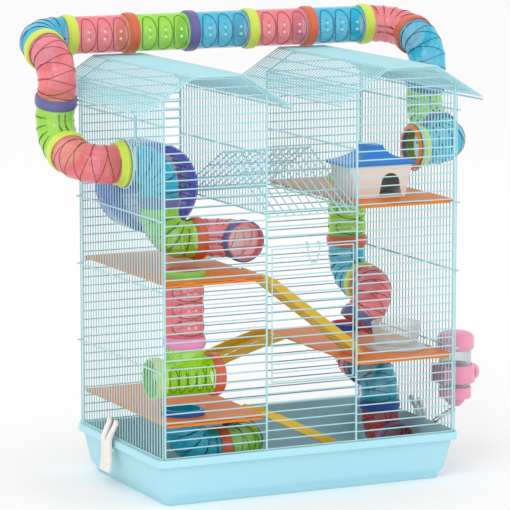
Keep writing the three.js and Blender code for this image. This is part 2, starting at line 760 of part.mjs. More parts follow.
// ---- Water bottle in a holder ring outside the right wall ----
const bottleY = columns[1] + bottleFromWire;
const holderBore = bottleR + 1;
const holderR = holderBore + 4;
const holderMiddle = (holderLow + holderHigh) / 2;
const wallFace = cageHalfX + wire / 2 + gap;
function holder() {
  const bulge = rod(11, 0, 12, 16).rotateY(Math.PI / 2).translate(holderR - 4, 0, holderMiddle);
  const body = joined(
    rod(holderR, holderLow, holderHigh),
    box(wallFace - bottleX, 0, -22, 22, holderLow, holderHigh),
    bulge,
  );
  return cut(body, rod(holderBore, holderLow - 5, holderHigh + 5)).translate(bottleX, bottleY, 0);
}
add("bottle_holder", holder(), pinkPlastic);
const bottle = rod(bottleR, bottleBottom + gap, bottleTop - gap, 16);
add("bottle_body", bottle.translate(bottleX, bottleY, 0), clearPlastic);
add(
  "bottle_top_cap",
  turned(
    [
      [0, bottleTop],
      [capR, bottleTop],
      [capR, bottleTop + capHeight - 8],
      [capR - 5, bottleTop + capHeight - 2],
      [0, bottleTop + capHeight],
    ],
    16,
  ).translate(bottleX, bottleY, 0),
  pinkPlastic,
);

const neckBottom = bottleBottom - 29;
add(
  "bottle_lower_cap",
  turned(
    [
      [0, neckBottom],
      [9, neckBottom],
      [14, neckBottom + 7],
      [14, bottleBottom - 18],
      [bottleR, bottleBottom - 17],
      [bottleR, bottleBottom],
      [0, bottleBottom],
    ],
    16,
  ).translate(bottleX, bottleY, 0),
  pinkPlastic,
);

const sipperR = 3.5;
const sipperStart = point(bottleX, bottleY, neckBottom - gap - sipperR);
const sipperEnd = point(cageHalfX - 5, bottleY, cageBottom + wire / 2 + sipperR);
function sipper() {
  const way = sipperEnd.clone().sub(sipperStart);
  const turnTo = new THREE.Quaternion().setFromUnitVectors(point(0, 1, 0), way.clone().normalize());
  const middle = along(sipperStart, way, 0.5);
  return new THREE.CylinderGeometry(sipperR, sipperR, way.length(), 12)
    .applyQuaternion(turnTo)
    .translate(middle.x, middle.y, middle.z);
}
add("sipper_tube", sipper(), steel);

export default cage;
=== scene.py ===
# A wire cage for hamsters: a moulded tray, two wire towers with shelves and ladders, and a run of
# translucent tubes over the roofs. Each section below makes one piece, or one group of like pieces.
import math

import bmesh
import bpy
from mathutils import Matrix, Vector


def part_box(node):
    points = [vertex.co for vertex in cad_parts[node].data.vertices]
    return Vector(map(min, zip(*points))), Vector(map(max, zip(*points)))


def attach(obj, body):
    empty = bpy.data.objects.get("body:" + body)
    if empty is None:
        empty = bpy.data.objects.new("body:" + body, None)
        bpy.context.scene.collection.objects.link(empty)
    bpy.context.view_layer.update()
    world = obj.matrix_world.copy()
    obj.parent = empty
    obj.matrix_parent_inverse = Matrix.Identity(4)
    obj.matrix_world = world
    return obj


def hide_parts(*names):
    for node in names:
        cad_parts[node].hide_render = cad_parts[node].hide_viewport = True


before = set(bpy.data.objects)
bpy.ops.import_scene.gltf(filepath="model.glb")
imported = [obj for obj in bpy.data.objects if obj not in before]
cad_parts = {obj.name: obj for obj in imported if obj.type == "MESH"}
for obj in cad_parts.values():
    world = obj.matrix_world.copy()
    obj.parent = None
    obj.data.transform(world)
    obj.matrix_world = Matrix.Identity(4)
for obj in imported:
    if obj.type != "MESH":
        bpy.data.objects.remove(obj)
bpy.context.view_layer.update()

MM = 0.001


# ---- Studio ----
# A white sweep under soft light: one broad key light high on the left, a weak one on the right, and a
# white room. The camera stands off to the front left with a long lens.
def linear(hex_colour):
    """An sRGB hex colour as the linear RGBA that shaders use."""
    parts = [int(hex_colour[i : i + 2], 16) / 255 for i in (1, 3, 5)]
    return [c / 12.92 if c <= 0.04045 else ((c + 0.055) / 1.055) ** 2.4 for c in parts] + [1]


def add_node(tree, kind, inputs=None, **settings):
    """A node with its settings; an input is either a value or the socket that feeds it."""
    made = tree.nodes.new(kind)
    for key, value in settings.items():
        setattr(made, key, value)
    for key, value in (inputs or {}).items():
        if isinstance(value, bpy.types.NodeSocket):
            tree.links.new(value, made.inputs[key])
        else:
            made.inputs[key].default_value = value
    return made


camera = bpy.data.objects.new("camera", bpy.data.cameras.new("camera"))
bpy.context.scene.collection.objects.link(camera)
camera.data.lens = 231.1
camera.data.clip_end = 50
camera.location = (-1.9908, -4.1629, 1.0320)
camera.rotation_mode = "QUATERNION"
camera.rotation_quaternion = Vector((0.4231, 0.8931, -0.1528)).to_track_quat("-Z", "Y")
bpy.context.scene.camera = camera
bpy.context.scene.view_settings.view_transform = "Standard"

world = bpy.data.worlds.new("white_room")
bpy.context.scene.world = world
world.use_nodes = True
world.node_tree.nodes["Background"].inputs["Color"].default_value = (1, 1, 1, 1)
world.node_tree.nodes["Background"].inputs["Strength"].default_value = 1.0


def soft_light(name, place, size, watts):
    lamp = bpy.data.lights.new(name, "AREA")
    lamp.size = size
    lamp.energy = watts
    made = bpy.data.objects.new(name, lamp)
    made.location = place
    made.rotation_mode = "QUATERNION"
    made.rotation_quaternion = (Vector((0, 0, 0.3)) - Vector(place)).to_track_quat("-Z", "Y")
    bpy.context.scene.collection.objects.link(made)


soft_light("key_light", (-2.2, -2.4, 3.0), 1.6, 30)
soft_light("fill_light", (2.6, -2.0, 1.8), 2.0, 8)

floor_mesh = bpy.data.meshes.new("floor")
reach = 12
floor_mesh.from_pydata(
    [(-reach, -reach, 0), (reach, -reach, 0), (reach, reach, 0), (-reach, reach, 0)], [], [(0, 1, 2, 3)]
)
floor = bpy.data.objects.new("floor", floor_mesh)
bpy.context.scene.collection.objects.link(floor)
paper = bpy.data.materials.new("matt_paper")
paper.use_nodes = True
paper_shader = paper.node_tree.nodes["Principled BSDF"]
paper_shader.inputs["Base Color"].default_value = linear("#FAFAFA")
paper_shader.inputs["Roughness"].default_value = 0.9
floor_mesh.materials.append(paper)


# ---- Tray ----
# A deep basin of injection-moulded polypropylene with a turned-down rim, a narrower foot and a step
# between them. The plastic is pale blue and faintly grained, so its gloss breaks up softly.
def moulded(name, colour, shade, roughness=0.35, alpha=1.0, edge=None, mottle_mm=9, grain=0.04, ior=1.49):
    """Moulded plastic: colour and shade mix in soft flow marks, and a fine grain breaks up the gloss.
    A clear plastic lets light through by its alpha, which rises to edge where its wall is seen aslant."""
    made = bpy.data.materials.new(name)
    made.use_nodes = True
    tree = made.node_tree
    shader = tree.nodes["Principled BSDF"]
    place = add_node(tree, "ShaderNodeTexCoord").outputs["Object"]
    flow = add_node(
        tree, "ShaderNodeTexNoise", {"Vector": place, "Scale": 1000 / mottle_mm / 4, "Detail": 2.0}
    )
    tint = add_node(
        tree,
        "ShaderNodeMixRGB",
        {"Fac": flow.outputs["Fac"], "Color1": linear(colour), "Color2": linear(shade)},
    )
    tree.links.new(tint.outputs["Color"], shader.inputs["Base Color"])
    fine = add_node(tree, "ShaderNodeTexNoise", {"Vector": place, "Scale": 900.0, "Detail": 1.0})
    bump = add_node(
        tree,
        "ShaderNodeBump",
        {"Height": fine.outputs["Fac"], "Strength": grain, "Distance": 0.0004},
    )
    tree.links.new(bump.outputs["Normal"], shader.inputs["Normal"])
    shader.inputs["Roughness"].default_value = roughness
    shader.inputs["IOR"].default_value = ior
    shader.inputs["Alpha"].default_value = alpha
    if edge:
        aslant = add_node(tree, "ShaderNodeLayerWeight", {"Blend": 0.35})
        cover = add_node(
            tree, "ShaderNodeMapRange", {"Value": aslant.outputs["Facing"], "To Min": alpha, "To Max": edge}
        )
        tree.links.new(cover.outputs["Result"], shader.inputs["Alpha"])
    return made


def settle(mesh, sharp_degrees=40):
    """Merges doubled points, turns the faces outwards and shades all but the sharp edges smooth."""
    work = bmesh.new()
    work.from_mesh(mesh)
    bmesh.ops.remove_doubles(work, verts=work.verts, dist=1e-6)
    bmesh.ops.recalc_face_normals(work, faces=work.faces)
    work.to_mesh(mesh)
    work.free()
    mesh.polygons.foreach_set("use_smooth", [True] * len(mesh.polygons))
    mesh.set_sharp_from_angle(angle=math.radians(sharp_degrees))


def piece(name, mesh, finish, body, slot, *nodes):
    """A finished mesh as a piece that rides on a body and stands for the given CAD nodes."""
    mesh.name = name
    mesh.materials.clear()
    mesh.materials.append(finish)
    made = bpy.data.objects.new(name, mesh)
    bpy.context.scene.collection.objects.link(made)
    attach(made, body)
    if nodes:
        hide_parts(*nodes)
    return made


def skinned(rings, loops=False):
    """A closed mesh over rings of points; a loop joins its last ring to its first, others are capped."""
    side = len(rings[0])
    total = side * len(rings)
    points = [point for ring in rings for point in ring]
    faces = []
    for k in range(len(rings) if loops else len(rings) - 1):
        for i in range(side):
            a, b = k * side + i, k * side + (i + 1) % side
            faces.append((a, b, (b + side) % total, (a + side) % total))
    if not loops:
        faces += [tuple(range(side - 1, -1, -1)), tuple(range(total - side, total))]
    mesh = bpy.data.meshes.new("skin")
    mesh.from_pydata([Vector(p) * MM for p in points], [], faces)
    settle(mesh)
    return mesh


def rounded(half_x, half_y, radius, z, middle=(0, 0), steps=7):
    """A rectangle with rounded corners, as a ring of points at one height."""
    ring = []
    for corner, (sx, sy) in enumerate([(1, 1), (-1, 1), (-1, -1), (1, -1)]):
        for i in range(steps + 1):
            angle = (corner + i / steps) * math.pi / 2
            x = middle[0] + sx * (half_x - radius) + radius * math.cos(angle)
            y = middle[1] + sy * (half_y - radius) + radius * math.sin(angle)
            ring.append((x, y, z))
    return ring


low, high = [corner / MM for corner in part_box("tray")]
tray_x, tray_y, tray_top = high.x, high.y, high.z
tray_profile = [  # inset from the rim, height, corner radius
    (22.5, 0, 12), (21.3, 1.2, 12), (20.2, 7, 12), (19.2, 8.6, 12.5), (14, 15.2, 14), (13, 17.6, 14),
    (6.3, tray_top - 12.6, 13), (6, tray_top - 11.2, 12), (1, tray_top - 11.2, 12),
    (0, tray_top - 10.2, 12), (0.3, tray_top - 2, 12), (0.9, tray_top - 0.5, 12), (2.2, tray_top, 12),
    (7.4, tray_top, 11), (8.6, tray_top - 0.5, 10), (9.2, tray_top - 2, 10),
    (16, 20.5, 12), (17.5, 17.4, 12), (23.4, 6.4, 10), (26, 4.2, 10), (28, 4, 10),
]
tray_plastic = moulded("moulded_polypropylene_blue", "#B2E4F0", "#A9DDEA", roughness=0.33, mottle_mm=60)
tray_mesh = skinned([rounded(tray_x - inset, tray_y - inset, r, z) for inset, z, r in tray_profile])
piece("tray_basin", tray_mesh, tray_plastic, "cage", "tray_plastic", "tray")


# ---- Wire panels ----
# Round steel wires welded side by side, 2 mm thick with 3 mm posts, under a pale aqua powder coat. The
# coat is thin and glossy, so each wire has one narrow highlight.
wire_finish = moulded("powder_coated_steel_wire", "#B4DFE6", "#A6D5DE", roughness=0.3, mottle_mm=30)
WIRE, POST = 1.9, 3.0  # diameters
ROW_PITCH, COLUMN_PITCH = 12.5, 9.4


def wire_row_tree():
    """Lays a round wire along the incoming edges and repeats it, one step after another."""
    tree = bpy.data.node_groups.new("wire_row", "GeometryNodeTree")
    sockets = [
        ("Path", "INPUT", "NodeSocketGeometry"), ("Diameter", "INPUT", "NodeSocketFloat"),
        ("Count", "INPUT", "NodeSocketInt"), ("Step", "INPUT", "NodeSocketVector"),
        ("Sides", "INPUT", "NodeSocketInt"), ("Finish", "INPUT", "NodeSocketMaterial"),
        ("Wires", "OUTPUT", "NodeSocketGeometry"),
    ]
    for name, way, kind in sockets:
        tree.interface.new_socket(name, in_out=way, socket_type=kind)
    given = add_node(tree, "NodeGroupInput").outputs
    line = add_node(tree, "GeometryNodeMeshToCurve", {"Mesh": given["Path"]})
    radius = add_node(tree, "ShaderNodeMath", {0: given["Diameter"], 1: 0.5}, operation="MULTIPLY")
    section = add_node(
        tree, "GeometryNodeCurvePrimitiveCircle", {"Resolution": given["Sides"], "Radius": radius.outputs[0]}
    )
    wire = add_node(
        tree,
        "GeometryNodeCurveToMesh",
        {"Curve": line.outputs[0], "Profile Curve": section.outputs[0], "Fill Caps": True},
    )
    places = add_node(tree, "GeometryNodeMeshLine", {"Count": given["Count"], "Offset": given["Step"]})
    copies = add_node(
        tree, "GeometryNodeInstanceOnPoints", {"Points": places.outputs[0], "Instance": wire.outputs[0]}
    )
    real = add_node(tree, "GeometryNodeRealizeInstances", {0: copies.outputs[0]})
    done = add_node(
        tree, "GeometryNodeSetMaterial", {"Geometry": real.outputs[0], "Material": given["Finish"]}
    )
    add_node(tree, "NodeGroupOutput", {"Wires": done.outputs[0]})
    return tree


WIRE_ROW = wire_row_tree()


def wire_row(path, diameter=WIRE, count=1, step=(0, 0, 0), sides=8, loop=False, finish=wire_finish):
    """A row of round wires as one mesh: path is the first wire's line and step leads to the next."""
    line = bpy.data.meshes.new("line")
    edges = [(i, i + 1) for i in range(len(path) - 1)]
    if loop:
        edges.append((len(path) - 1, 0))
    line.from_pydata([Vector(p) * MM for p in path], edges, [])
    carrier = bpy.data.objects.new("carrier", line)
    bpy.context.scene.collection.objects.link(carrier)
    row = carrier.modifiers.new("row", "NODES")
    row.node_group = WIRE_ROW
    named = {item.name: item.identifier for item in WIRE_ROW.interface.items_tree}
    row[named["Diameter"]] = diameter * MM
    row[named["Count"]] = count
    row[named["Step"]] = [s * MM for s in step]
    row[named["Sides"]] = sides
    row[named["Finish"]] = finish
    mesh = bpy.data.meshes.new_from_object(carrier.evaluated_get(bpy.context.evaluated_depsgraph_get()))
    bpy.data.objects.remove(carrier)
    return mesh


def together(meshes, sharp_degrees=50):
    """Several meshes as one."""
    work = bmesh.new()
    for mesh in meshes:
        work.from_mesh(mesh)
    whole = bpy.data.meshes.new("whole")
    work.to_mesh(whole)
    work.free()
    settle(whole, sharp_degrees)
    return whole


def rows_of(x0, x1, y, z0, z1, pitch=ROW_PITCH, diameter=WIRE):
    """Level wires along X, from height z0 to z1."""
    count = max(1, round((z1 - z0) / pitch) + 1)
    step = (z1 - z0) / max(1, count - 1)
    return wire_row([(x0, y, z0), (x1, y, z0)], diameter, count, (0, 0, step))


def columns_of(x, y0, y1, z0, z1, pitch=COLUMN_PITCH, diameter=WIRE):
    """Upright wires at one X, from y0 to y1."""
    count = round((y1 - y0) / pitch) + 1
    return wire_row([(x, y0, z0), (x, y0, z1)], diameter, count, (0, (y1 - y0) / (count - 1), 0))


low, high = [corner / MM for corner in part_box("wire_front")]
front_y = (low.y + high.y) / 2
panel_x = high.x - 1.2
panel_bottom = low.z + 1.2
gable_top = high.z - 1.2
wall_low, wall_high = [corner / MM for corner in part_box("wire_wall_right")]
wall_x = (wall_low.x + wall_high.x) / 2
wall_y = wall_high.y - 1.2
wall_top = wall_high.z - 1.2
inner_low, inner_high = [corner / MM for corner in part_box("tower_wall_right")]
inner_x = (inner_low.x + inner_high.x) / 2
roof_low, roof_high = [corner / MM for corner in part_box("roof_right")]
tower_x = (roof_low.x + roof_high.x) / 2
middle_low, middle_high = [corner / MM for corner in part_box("roof_middle")]
ridge_z, middle_eave = middle_high.z - 1.4, middle_low.z + 1.4
middle_top = middle_eave - 2.5
door_low, door_high = [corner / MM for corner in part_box("front_door")]
ROOF_FLAT = 37
ROOF_SLOPE = (roof_high.z - roof_low.z) / ((roof_high.x - roof_low.x) / 2 - ROOF_FLAT)


def gable_reach(z):
    """How far from a tower's middle the gable reaches at a height."""
    return ROOF_FLAT + (gable_top - z) / ROOF_SLOPE


def end_panel(y, doorway):
    parts = []
    spans = [(-panel_x, -inner_x), (inner_x, panel_x)]
    for x0, x1 in spans:
        parts.append(rows_of(x0, x1, y, panel_bottom, wall_top))
        z = wall_top + ROW_PITCH
        middle = (x0 + x1) / 2 * tower_x / ((panel_x + inner_x) / 2)
        while z < gable_top:
            parts.append(rows_of(middle - gable_reach(z), middle + gable_reach(z), y, z, z))
            z += ROW_PITCH
        outline = [
            (middle - gable_reach(wall_top), wall_top), (middle - ROOF_FLAT, gable_top),
            (middle + ROOF_FLAT, gable_top), (middle + gable_reach(wall_top), wall_top),
        ]
        parts.append(wire_row([(x, y, z) for x, z in outline], 2.4))
    if doorway:
        parts.append(rows_of(-inner_x, inner_x, y, panel_bottom, door_low.z - 2.4))
        parts.append(rows_of(-inner_x, inner_x, y, door_high.z + 2.4, middle_top))
    else:
        parts.append(rows_of(-inner_x, inner_x, y, panel_bottom, middle_top))
    for x, top in [(-panel_x, wall_top), (-inner_x, wall_top), (inner_x, wall_top), (panel_x, wall_top)]:
        parts.append(wire_row([(x, y, panel_bottom), (x, y, top)], POST, sides=12))
    return together(parts)


piece("front_wires", end_panel(front_y, True), wire_finish, "cage", "coated_wire", "wire_front")
piece("back_wires", end_panel(-front_y, False), wire_finish, "cage", "coated_wire", "wire_back")

ring_low, ring_high = [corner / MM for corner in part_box("entry_ring_left")]
entry_y, entry_z = (ring_low.y + ring_high.y) / 2, (ring_low.z + ring_high.z) / 2
entry_hole = (ring_high.z - ring_low.z) / 2 + 1.6
JOINT_HEIGHTS = (190, 301.5, 399, 530)


def around_entry(x):
    """The upright wires that the entry ring interrupts, each in two lengths, and the hoop they end on."""
    count = round(2 * wall_y / COLUMN_PITCH) + 1
    step = 2 * wall_y / (count - 1)
    parts = []
    for i in range(count):
        y = -wall_y + i * step
        aside = abs(y - entry_y)
        if aside < entry_hole:
            half = math.sqrt(entry_hole**2 - aside**2)
            parts.append(wire_row([(x, y, panel_bottom), (x, y, entry_z - half)]))
            parts.append(wire_row([(x, y, entry_z + half), (x, y, wall_top)]))
        else:
            parts.append(wire_row([(x, y, panel_bottom), (x, y, wall_top)]))
    turns = [i * math.tau / 40 for i in range(40)]
    hoop = [(x, entry_y + entry_hole * math.cos(t), entry_z + entry_hole * math.sin(t)) for t in turns]
    parts.append(wire_row(hoop, 2.4, loop=True))
    return parts


def side_panel(x):
    parts = around_entry(x)
    outside = x + math.copysign(1.7, x)
    for z in (panel_bottom, *JOINT_HEIGHTS, wall_top):
        if abs(z - entry_z) > entry_hole:
            parts.append(wire_row([(outside, -wall_y, z), (outside, wall_y, z)], 2.4))
    for z in JOINT_HEIGHTS:
        for y in (-wall_y, wall_y):
            eye = [(outside + 3.6 * math.cos(t), y + 3.6 * math.sin(t), z) for t in
                   [i * math.tau / 14 for i in range(14)]]
            parts.append(wire_row(eye, 1.8, loop=True))
    return together(parts)


piece("left_wires", side_panel(-wall_x), wire_finish, "cage", "coated_wire", "wire_wall_left")
piece("right_wires", side_panel(wall_x), wire_finish, "cage", "coated_wire", "wire_wall_right")

hook = [(0, 0), (0, 30), (-3, 34), (-9, 36), (-15, 36)]
loops = [
    wire_row([(-wall_x - 2.6, -62 + y, 460 + z) for y, z in hook], 2.2, sides=10),
    wire_row([(-wall_x - 2.6, -62 + y, 536 - z) for y, z in hook], 2.2, sides=10),
]
piece("left_wall_hooks", together(loops), wire_finish, "cage", "coated_wire")


def tower_wall(x):
    reach = inner_high.y - 1.2
    parts = [columns_of(x, -reach, reach, inner_low.z, inner_high.z)]
    for z in (inner_low.z + 1.2, (inner_low.z + inner_high.z) / 2, inner_high.z - 1.2):
        parts.append(wire_row([(x, -reach, z), (x, reach, z)], 2.4))
    return together(parts)


piece("left_tower_wires", tower_wall(-inner_x), wire_finish, "cage", "coated_wire", "tower_wall_left")
piece("right_tower_wires", tower_wall(inner_x), wire_finish, "cage", "coated_wire", "tower_wall_right")


# ---- Roofs ----
# Each tower's roof is one lattice of bent wires with a flat top and two slopes, tied by straight wires.
# The roof between the towers is a lower ridge. They are the panels' wire and carry the same coat.
roof_finish = wire_finish
ROOF_PITCH = 8.6


def tower_roof(middle):
    half = (roof_high.x - roof_low.x) / 2 - 1
    top, eave = roof_high.z - 1.4, roof_low.z + 1.4
    bends = [(-half, eave), (-ROOF_FLAT, top), (ROOF_FLAT, top), (half, eave)]
    front, back = roof_low.y + 1.2, roof_high.y - 1.2
    count = round((back - front) / ROOF_PITCH) + 1
    step = (0, (back - front) / (count - 1), 0)
    parts = [wire_row([(middle + x, front, z) for x, z in bends], 2.0, count, step)]
    slope = [(x, top - ROOF_SLOPE * (x - ROOF_FLAT)) for x in (ROOF_FLAT, 55, 74, 92, half)]
    for x, z in slope:
        for side in (-1, 1):
            wide = 2.6 if x in (ROOF_FLAT, half) else 1.9
            line = [(middle + side * x, front, z - 1.6), (middle + side * x, back, z - 1.6)]
            parts.append(wire_row(line, wide))
    return together(parts)


piece("left_roof_wires", tower_roof(-tower_x), roof_finish, "cage", "coated_wire", "roof_left")
piece("right_roof_wires", tower_roof(tower_x), roof_finish, "cage", "coated_wire", "roof_right")


def ridge_roof():
    half_x, reach_y = middle_high.x - 1, middle_high.y - 1.4
    bends = [(-reach_y, middle_eave), (0, ridge_z), (reach_y, middle_eave)]
    count = round(2 * half_x / 12) + 1
    parts = [wire_row([(-half_x, y, z) for y, z in bends], 2.0, count, (2 * half_x / (count - 1), 0, 0))]
    for share in (-1, -0.92, -0.66, -0.33, 0, 0.33, 0.66, 0.92, 1):
        z = ridge_z - (ridge_z - middle_eave) * abs(share) - 1.5
        parts.append(wire_row([(-half_x, share * reach_y, z), (half_x, share * reach_y, z)], 2.2))
    return together(parts)


piece("middle_roof_wires", ridge_roof(), roof_finish, "cage", "coated_wire", "roof_middle")


# ---- Front door ----
# A wire door on the outside of its doorway, hung at the bottom, with two bent hooks at the top that
# drop over the wire above it.
def door():
    y = (door_low.y + door_high.y) / 2
    x, bottom, top = door_high.x - 1.2, door_low.z + 1.2, door_high.z - 1.2
    frame_line = [(-x, y, bottom), (x, y, bottom), (x, y, top), (-x, y, top)]
    parts = [wire_row(frame_line, 2.4, loop=True), rows_of(-x, x, y, bottom, top)]
    return together(parts)


piece("door_wires", door(), wire_finish, "door", "coated_wire", "front_door")

latch_low, latch_high = [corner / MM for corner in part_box("door_latch")]


def latch():
    y, over = latch_low.y + 1.2, latch_high.y - 1
    bottom, top = latch_low.z + 1.2, latch_high.z - 1.2
    side = latch_high.x - 1.2
    return together([
        wire_row(
            [(-s * side, over, top), (-s * side, y, top), (-s * side, y, top - 12), (-s * (side - 4), y, bottom)],
            2.2,
        )
        for s in (-1, 1)
    ] + [wire_row([(-side + 4, y, bottom), (side - 4, y, bottom)], 2.2)])


piece("latch_wires", latch(), wire_finish, "latch", "coated_wire", "door_latch")


# ---- Tray clips ----
# White ABS clips with a forked top that hangs on the side wires, and a flared, ribbed foot to pull.
def flat_plate(outlines, thick, bevel, place):
    """A flat plate with rounded edges from closed outlines of (u, v) points; inner outlines are holes."""
    curve = bpy.data.curves.new("outline", "CURVE")
    curve.dimensions = "2D"
    curve.fill_mode = "BOTH"
    curve.extrude = (thick / 2 - bevel) * MM
    curve.bevel_depth = bevel * MM
    curve.bevel_resolution = 2
    curve.offset = -bevel * MM
    for outline in outlines:
        spline = curve.splines.new("POLY")
        spline.points.add(len(outline) - 1)
        for point, (u, v) in zip(spline.points, outline):
            point.co = (u * MM, v * MM, 0, 1)
        spline.use_cyclic_u = True
    carrier = bpy.data.objects.new("carrier", curve)
    mesh = bpy.data.meshes.new_from_object(carrier)
    bpy.data.objects.remove(carrier)
    mesh.transform(place)
    settle(mesh)
    return mesh


def arc(u, v, radius, start, end, steps=8):
    """Points of an arc, in degrees."""
    turns = [math.radians(start + (end - start) * i / steps) for i in range(steps + 1)]
    return [(u + radius * math.cos(t), v + radius * math.sin(t)) for t in turns]


UPRIGHT_FRONT = Matrix(((1, 0, 0, 0), (0, 0, -1, 0), (0, 1, 0, 0), (0, 0, 0, 1)))  # u on X, v on Z
UPRIGHT_SIDE = Matrix(((0, 0, 1, 0), (1, 0, 0, 0), (0, 1, 0, 0), (0, 0, 0, 1)))  # u on Y, v on Z
white_plastic = moulded("moulded_abs_white", "#F6F2EC", "#EDE8E1", roughness=0.38, mottle_mm=25)


def clip(side):
    """Across its width the clip is a plate with a forked top; along its depth it is bent by a shear."""
    low, high = [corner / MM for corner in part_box("tray_clip_left" if side < 0 else "tray_clip_right")]
    half, bottom, top = (high.y - low.y) / 2, low.z, high.z
    middle = (low.y + high.y) / 2
    outline = (
        arc(-half + 5.5, top - 5.5, 5.5, 180, 0)
        + [(-3.5, 74)] + arc(0, 70, 3.5, 180, 360) + [(3.5, 74)]
        + arc(half - 5.5, top - 5.5, 5.5, 180, 0)
        + [(half - 2, 60), (half - 1.5, 42), (half, bottom + 4)]
        + arc(half - 4, bottom + 4, 4, 0, -90) + arc(-half + 4, bottom + 4, 4, -90, -180)
        + [(-half + 1.5, 42), (-half + 2, 60)]
    )
    mesh = flat_plate([outline], 4.6, 1.2, UPRIGHT_SIDE)
    inner = min(abs(low.x), abs(high.x)) + 2.6
    work = bmesh.new()
    work.from_mesh(mesh)
    cuts = [v for v in range(26, 98, 6)]
    for z in cuts:
        bmesh.ops.bisect_plane(
            work, geom=work.verts[:] + work.edges[:] + work.faces[:],
            plane_co=(0, 0, z * MM), plane_no=(0, 0, 1),
        )
    for v in work.verts:
        z = v.co.z / MM
        out = 10 * min(1, max(0, (92 - z) / 20)) + 2.2 * min(1, max(0, (40 - z) / 16))
        v.co.x = side * (inner + out) * MM + v.co.x
        v.co.y += middle * MM
    work.to_mesh(mesh)
    work.free()
    settle(mesh)
    ribs = [
        wire_row(
            [(side * (inner + 13.2), middle - half + 4, z), (side * (inner + 13.2), middle + half - 4, z)],
            1.6, finish=white_plastic,
        )
        for z in (27, 31, 35)
    ]
    hook_x = inner + 7
    catch = skinned([rounded(2.5, half - 4, 1, z, (side * (hook_x - 1), middle)) for z in (53, 56.4)])
    return together([mesh, catch, *ribs])


piece("left_clip_plastic", clip(-1), white_plastic, "left_clip", "clip_plastic", "tray_clip_left")
piece("right_clip_plastic", clip(1), white_plastic, "right_clip", "clip_plastic", "tray_clip_right")


# ---- Shelves ----
# Orange polystyrene sheets, 3 mm thick, that lie on the joint wires. Their long edges are turned down,
# and small tabs on the front edge drop over a wire. Each has a round hole for a tube.
shelf_plastic = moulded("moulded_polystyrene_orange", "#EE8620", "#E47C1A", roughness=0.42, mottle_mm=40)
HOLE = 30.3  # radius


def shelf(name, hole):
    low, high = [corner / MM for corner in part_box(name)]
    x0, x1, y0, y1, top = low.x, high.x, low.y, high.y, high.z
    tabs = []
    for share in (0.25, 0.75):
        x = x0 + (x1 - x0) * share
        tabs += [(x - 8, y0), (x - 6, y0 - 2), (x + 6, y0 - 2), (x + 8, y0)]
    outline = arc(x0 + 4, y0 + 4, 4, 180, 270) + tabs + arc(x1 - 4, y0 + 4, 4, 270, 360)
    outline += arc(x1 - 4, y1 - 4, 4, 0, 90) + arc(x0 + 4, y1 - 4, 4, 90, 180)
    ring = arc(hole[0], hole[1], HOLE, 0, 352.5, 47)
    sheet = flat_plate([outline, ring], 3, 0.5, Matrix.Translation((0, 0, (top - 1.5) * MM)))
    edges = []
    for y in (y0 + 1.4, y1 - 1.4):
        rings = [rounded((x1 - x0) / 2 - 4, 1.4, 1, z, ((x0 + x1) / 2, y), 3) for z in (low.z, top - 1.5)]
        edges.append(skinned(rings))
    piece(name + "_sheet", together([sheet, *edges]), shelf_plastic, "cage", "shelf_plastic", name)


def box_of(node):
    """A node's lowest and highest corners, in mm."""
    return [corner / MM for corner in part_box(node)]


low, high = box_of("shelf_tube")
upper_left = Vector(((low.x + high.x) / 2, (low.y + high.y) / 2, high.z))
low, high = box_of("tray_tube_1")
TUBE_HALF = 27.7  # half of a tube node's width in its box
lower_left = Vector((low.x + TUBE_HALF, (low.y + high.y) / 2, high.z))
low, high = box_of("drop_tube_1")
upper_right = Vector(((low.x + high.x) / 2, (low.y + high.y) / 2, high.z))
low, high = box_of("foot_tube_1")
middle_right = Vector(((low.x + high.x) / 2, high.y - TUBE_HALF, high.z))
shelf("shelf_upper_left", upper_left)
shelf("shelf_lower_left", lower_left)
shelf("shelf_middle_right", middle_right)
shelf("shelf_upper_right", upper_right)


# ---- Tubes ----
# Straights and elbows of tinted clear polystyrene, 54 mm across with a 2 mm wall. Raised ovals with a
# pair of knobs give the animals a grip. The tint lets light through, so far walls show through near ones.
def tinted(name, colour, shade):
    return moulded(name, colour, shade, roughness=0.08, alpha=0.38, edge=0.74, mottle_mm=30, grain=0.01, ior=1.59)


TUBE_TINTS = {
    "pink": (tinted("tinted_polystyrene_pink", "#FF8890", "#FF7A84"), "#8A2C38"),
    "lime": (tinted("tinted_polystyrene_lime", "#AEF400", "#A2EC00"), "#2F5A00"),
    "blue": (tinted("tinted_polystyrene_blue", "#00D2F2", "#00C6EA"), "#0A3C66"),
    "red": (tinted("tinted_polystyrene_red", "#CE322E", "#C02A28"), "#6E1416"),
}
# Each tint's second, dark colour is painted shade on the ridges. They are the same plastic as the tube, darkened for
# the light the raised ridges bend away.
RIB_SHADE_TINTS = {
    key: moulded(f"painted_shade_polystyrene_{key}", ridge_shade, ridge_shade, roughness=0.15, alpha=0.8, mottle_mm=12, grain=0.01)
    for key, (_, ridge_shade) in TUBE_TINTS.items()
}
# The knobs take pale, opaque tints of their tube colours as painted highlight, for the light the small round knobs
# catch.
KNOB_HIGHLIGHT_TINTS = {
    key: moulded(f"painted_highlight_knob_{key}", colour, colour, roughness=0.15, mottle_mm=12, grain=0.01)
    for key, colour in {"pink": "#F8C4C4", "lime": "#E2F878", "blue": "#9AE4F8", "red": "#E07870"}.items()
}
TUBE_R, TUBE_WALL, RING_R, RING_WIDE = 27.0, 2.0, 30.0, 16.0
ELBOW_LEG, SHORT_LEG, STUB = 48.0, 42.0, 7.0
GAP = 0.4


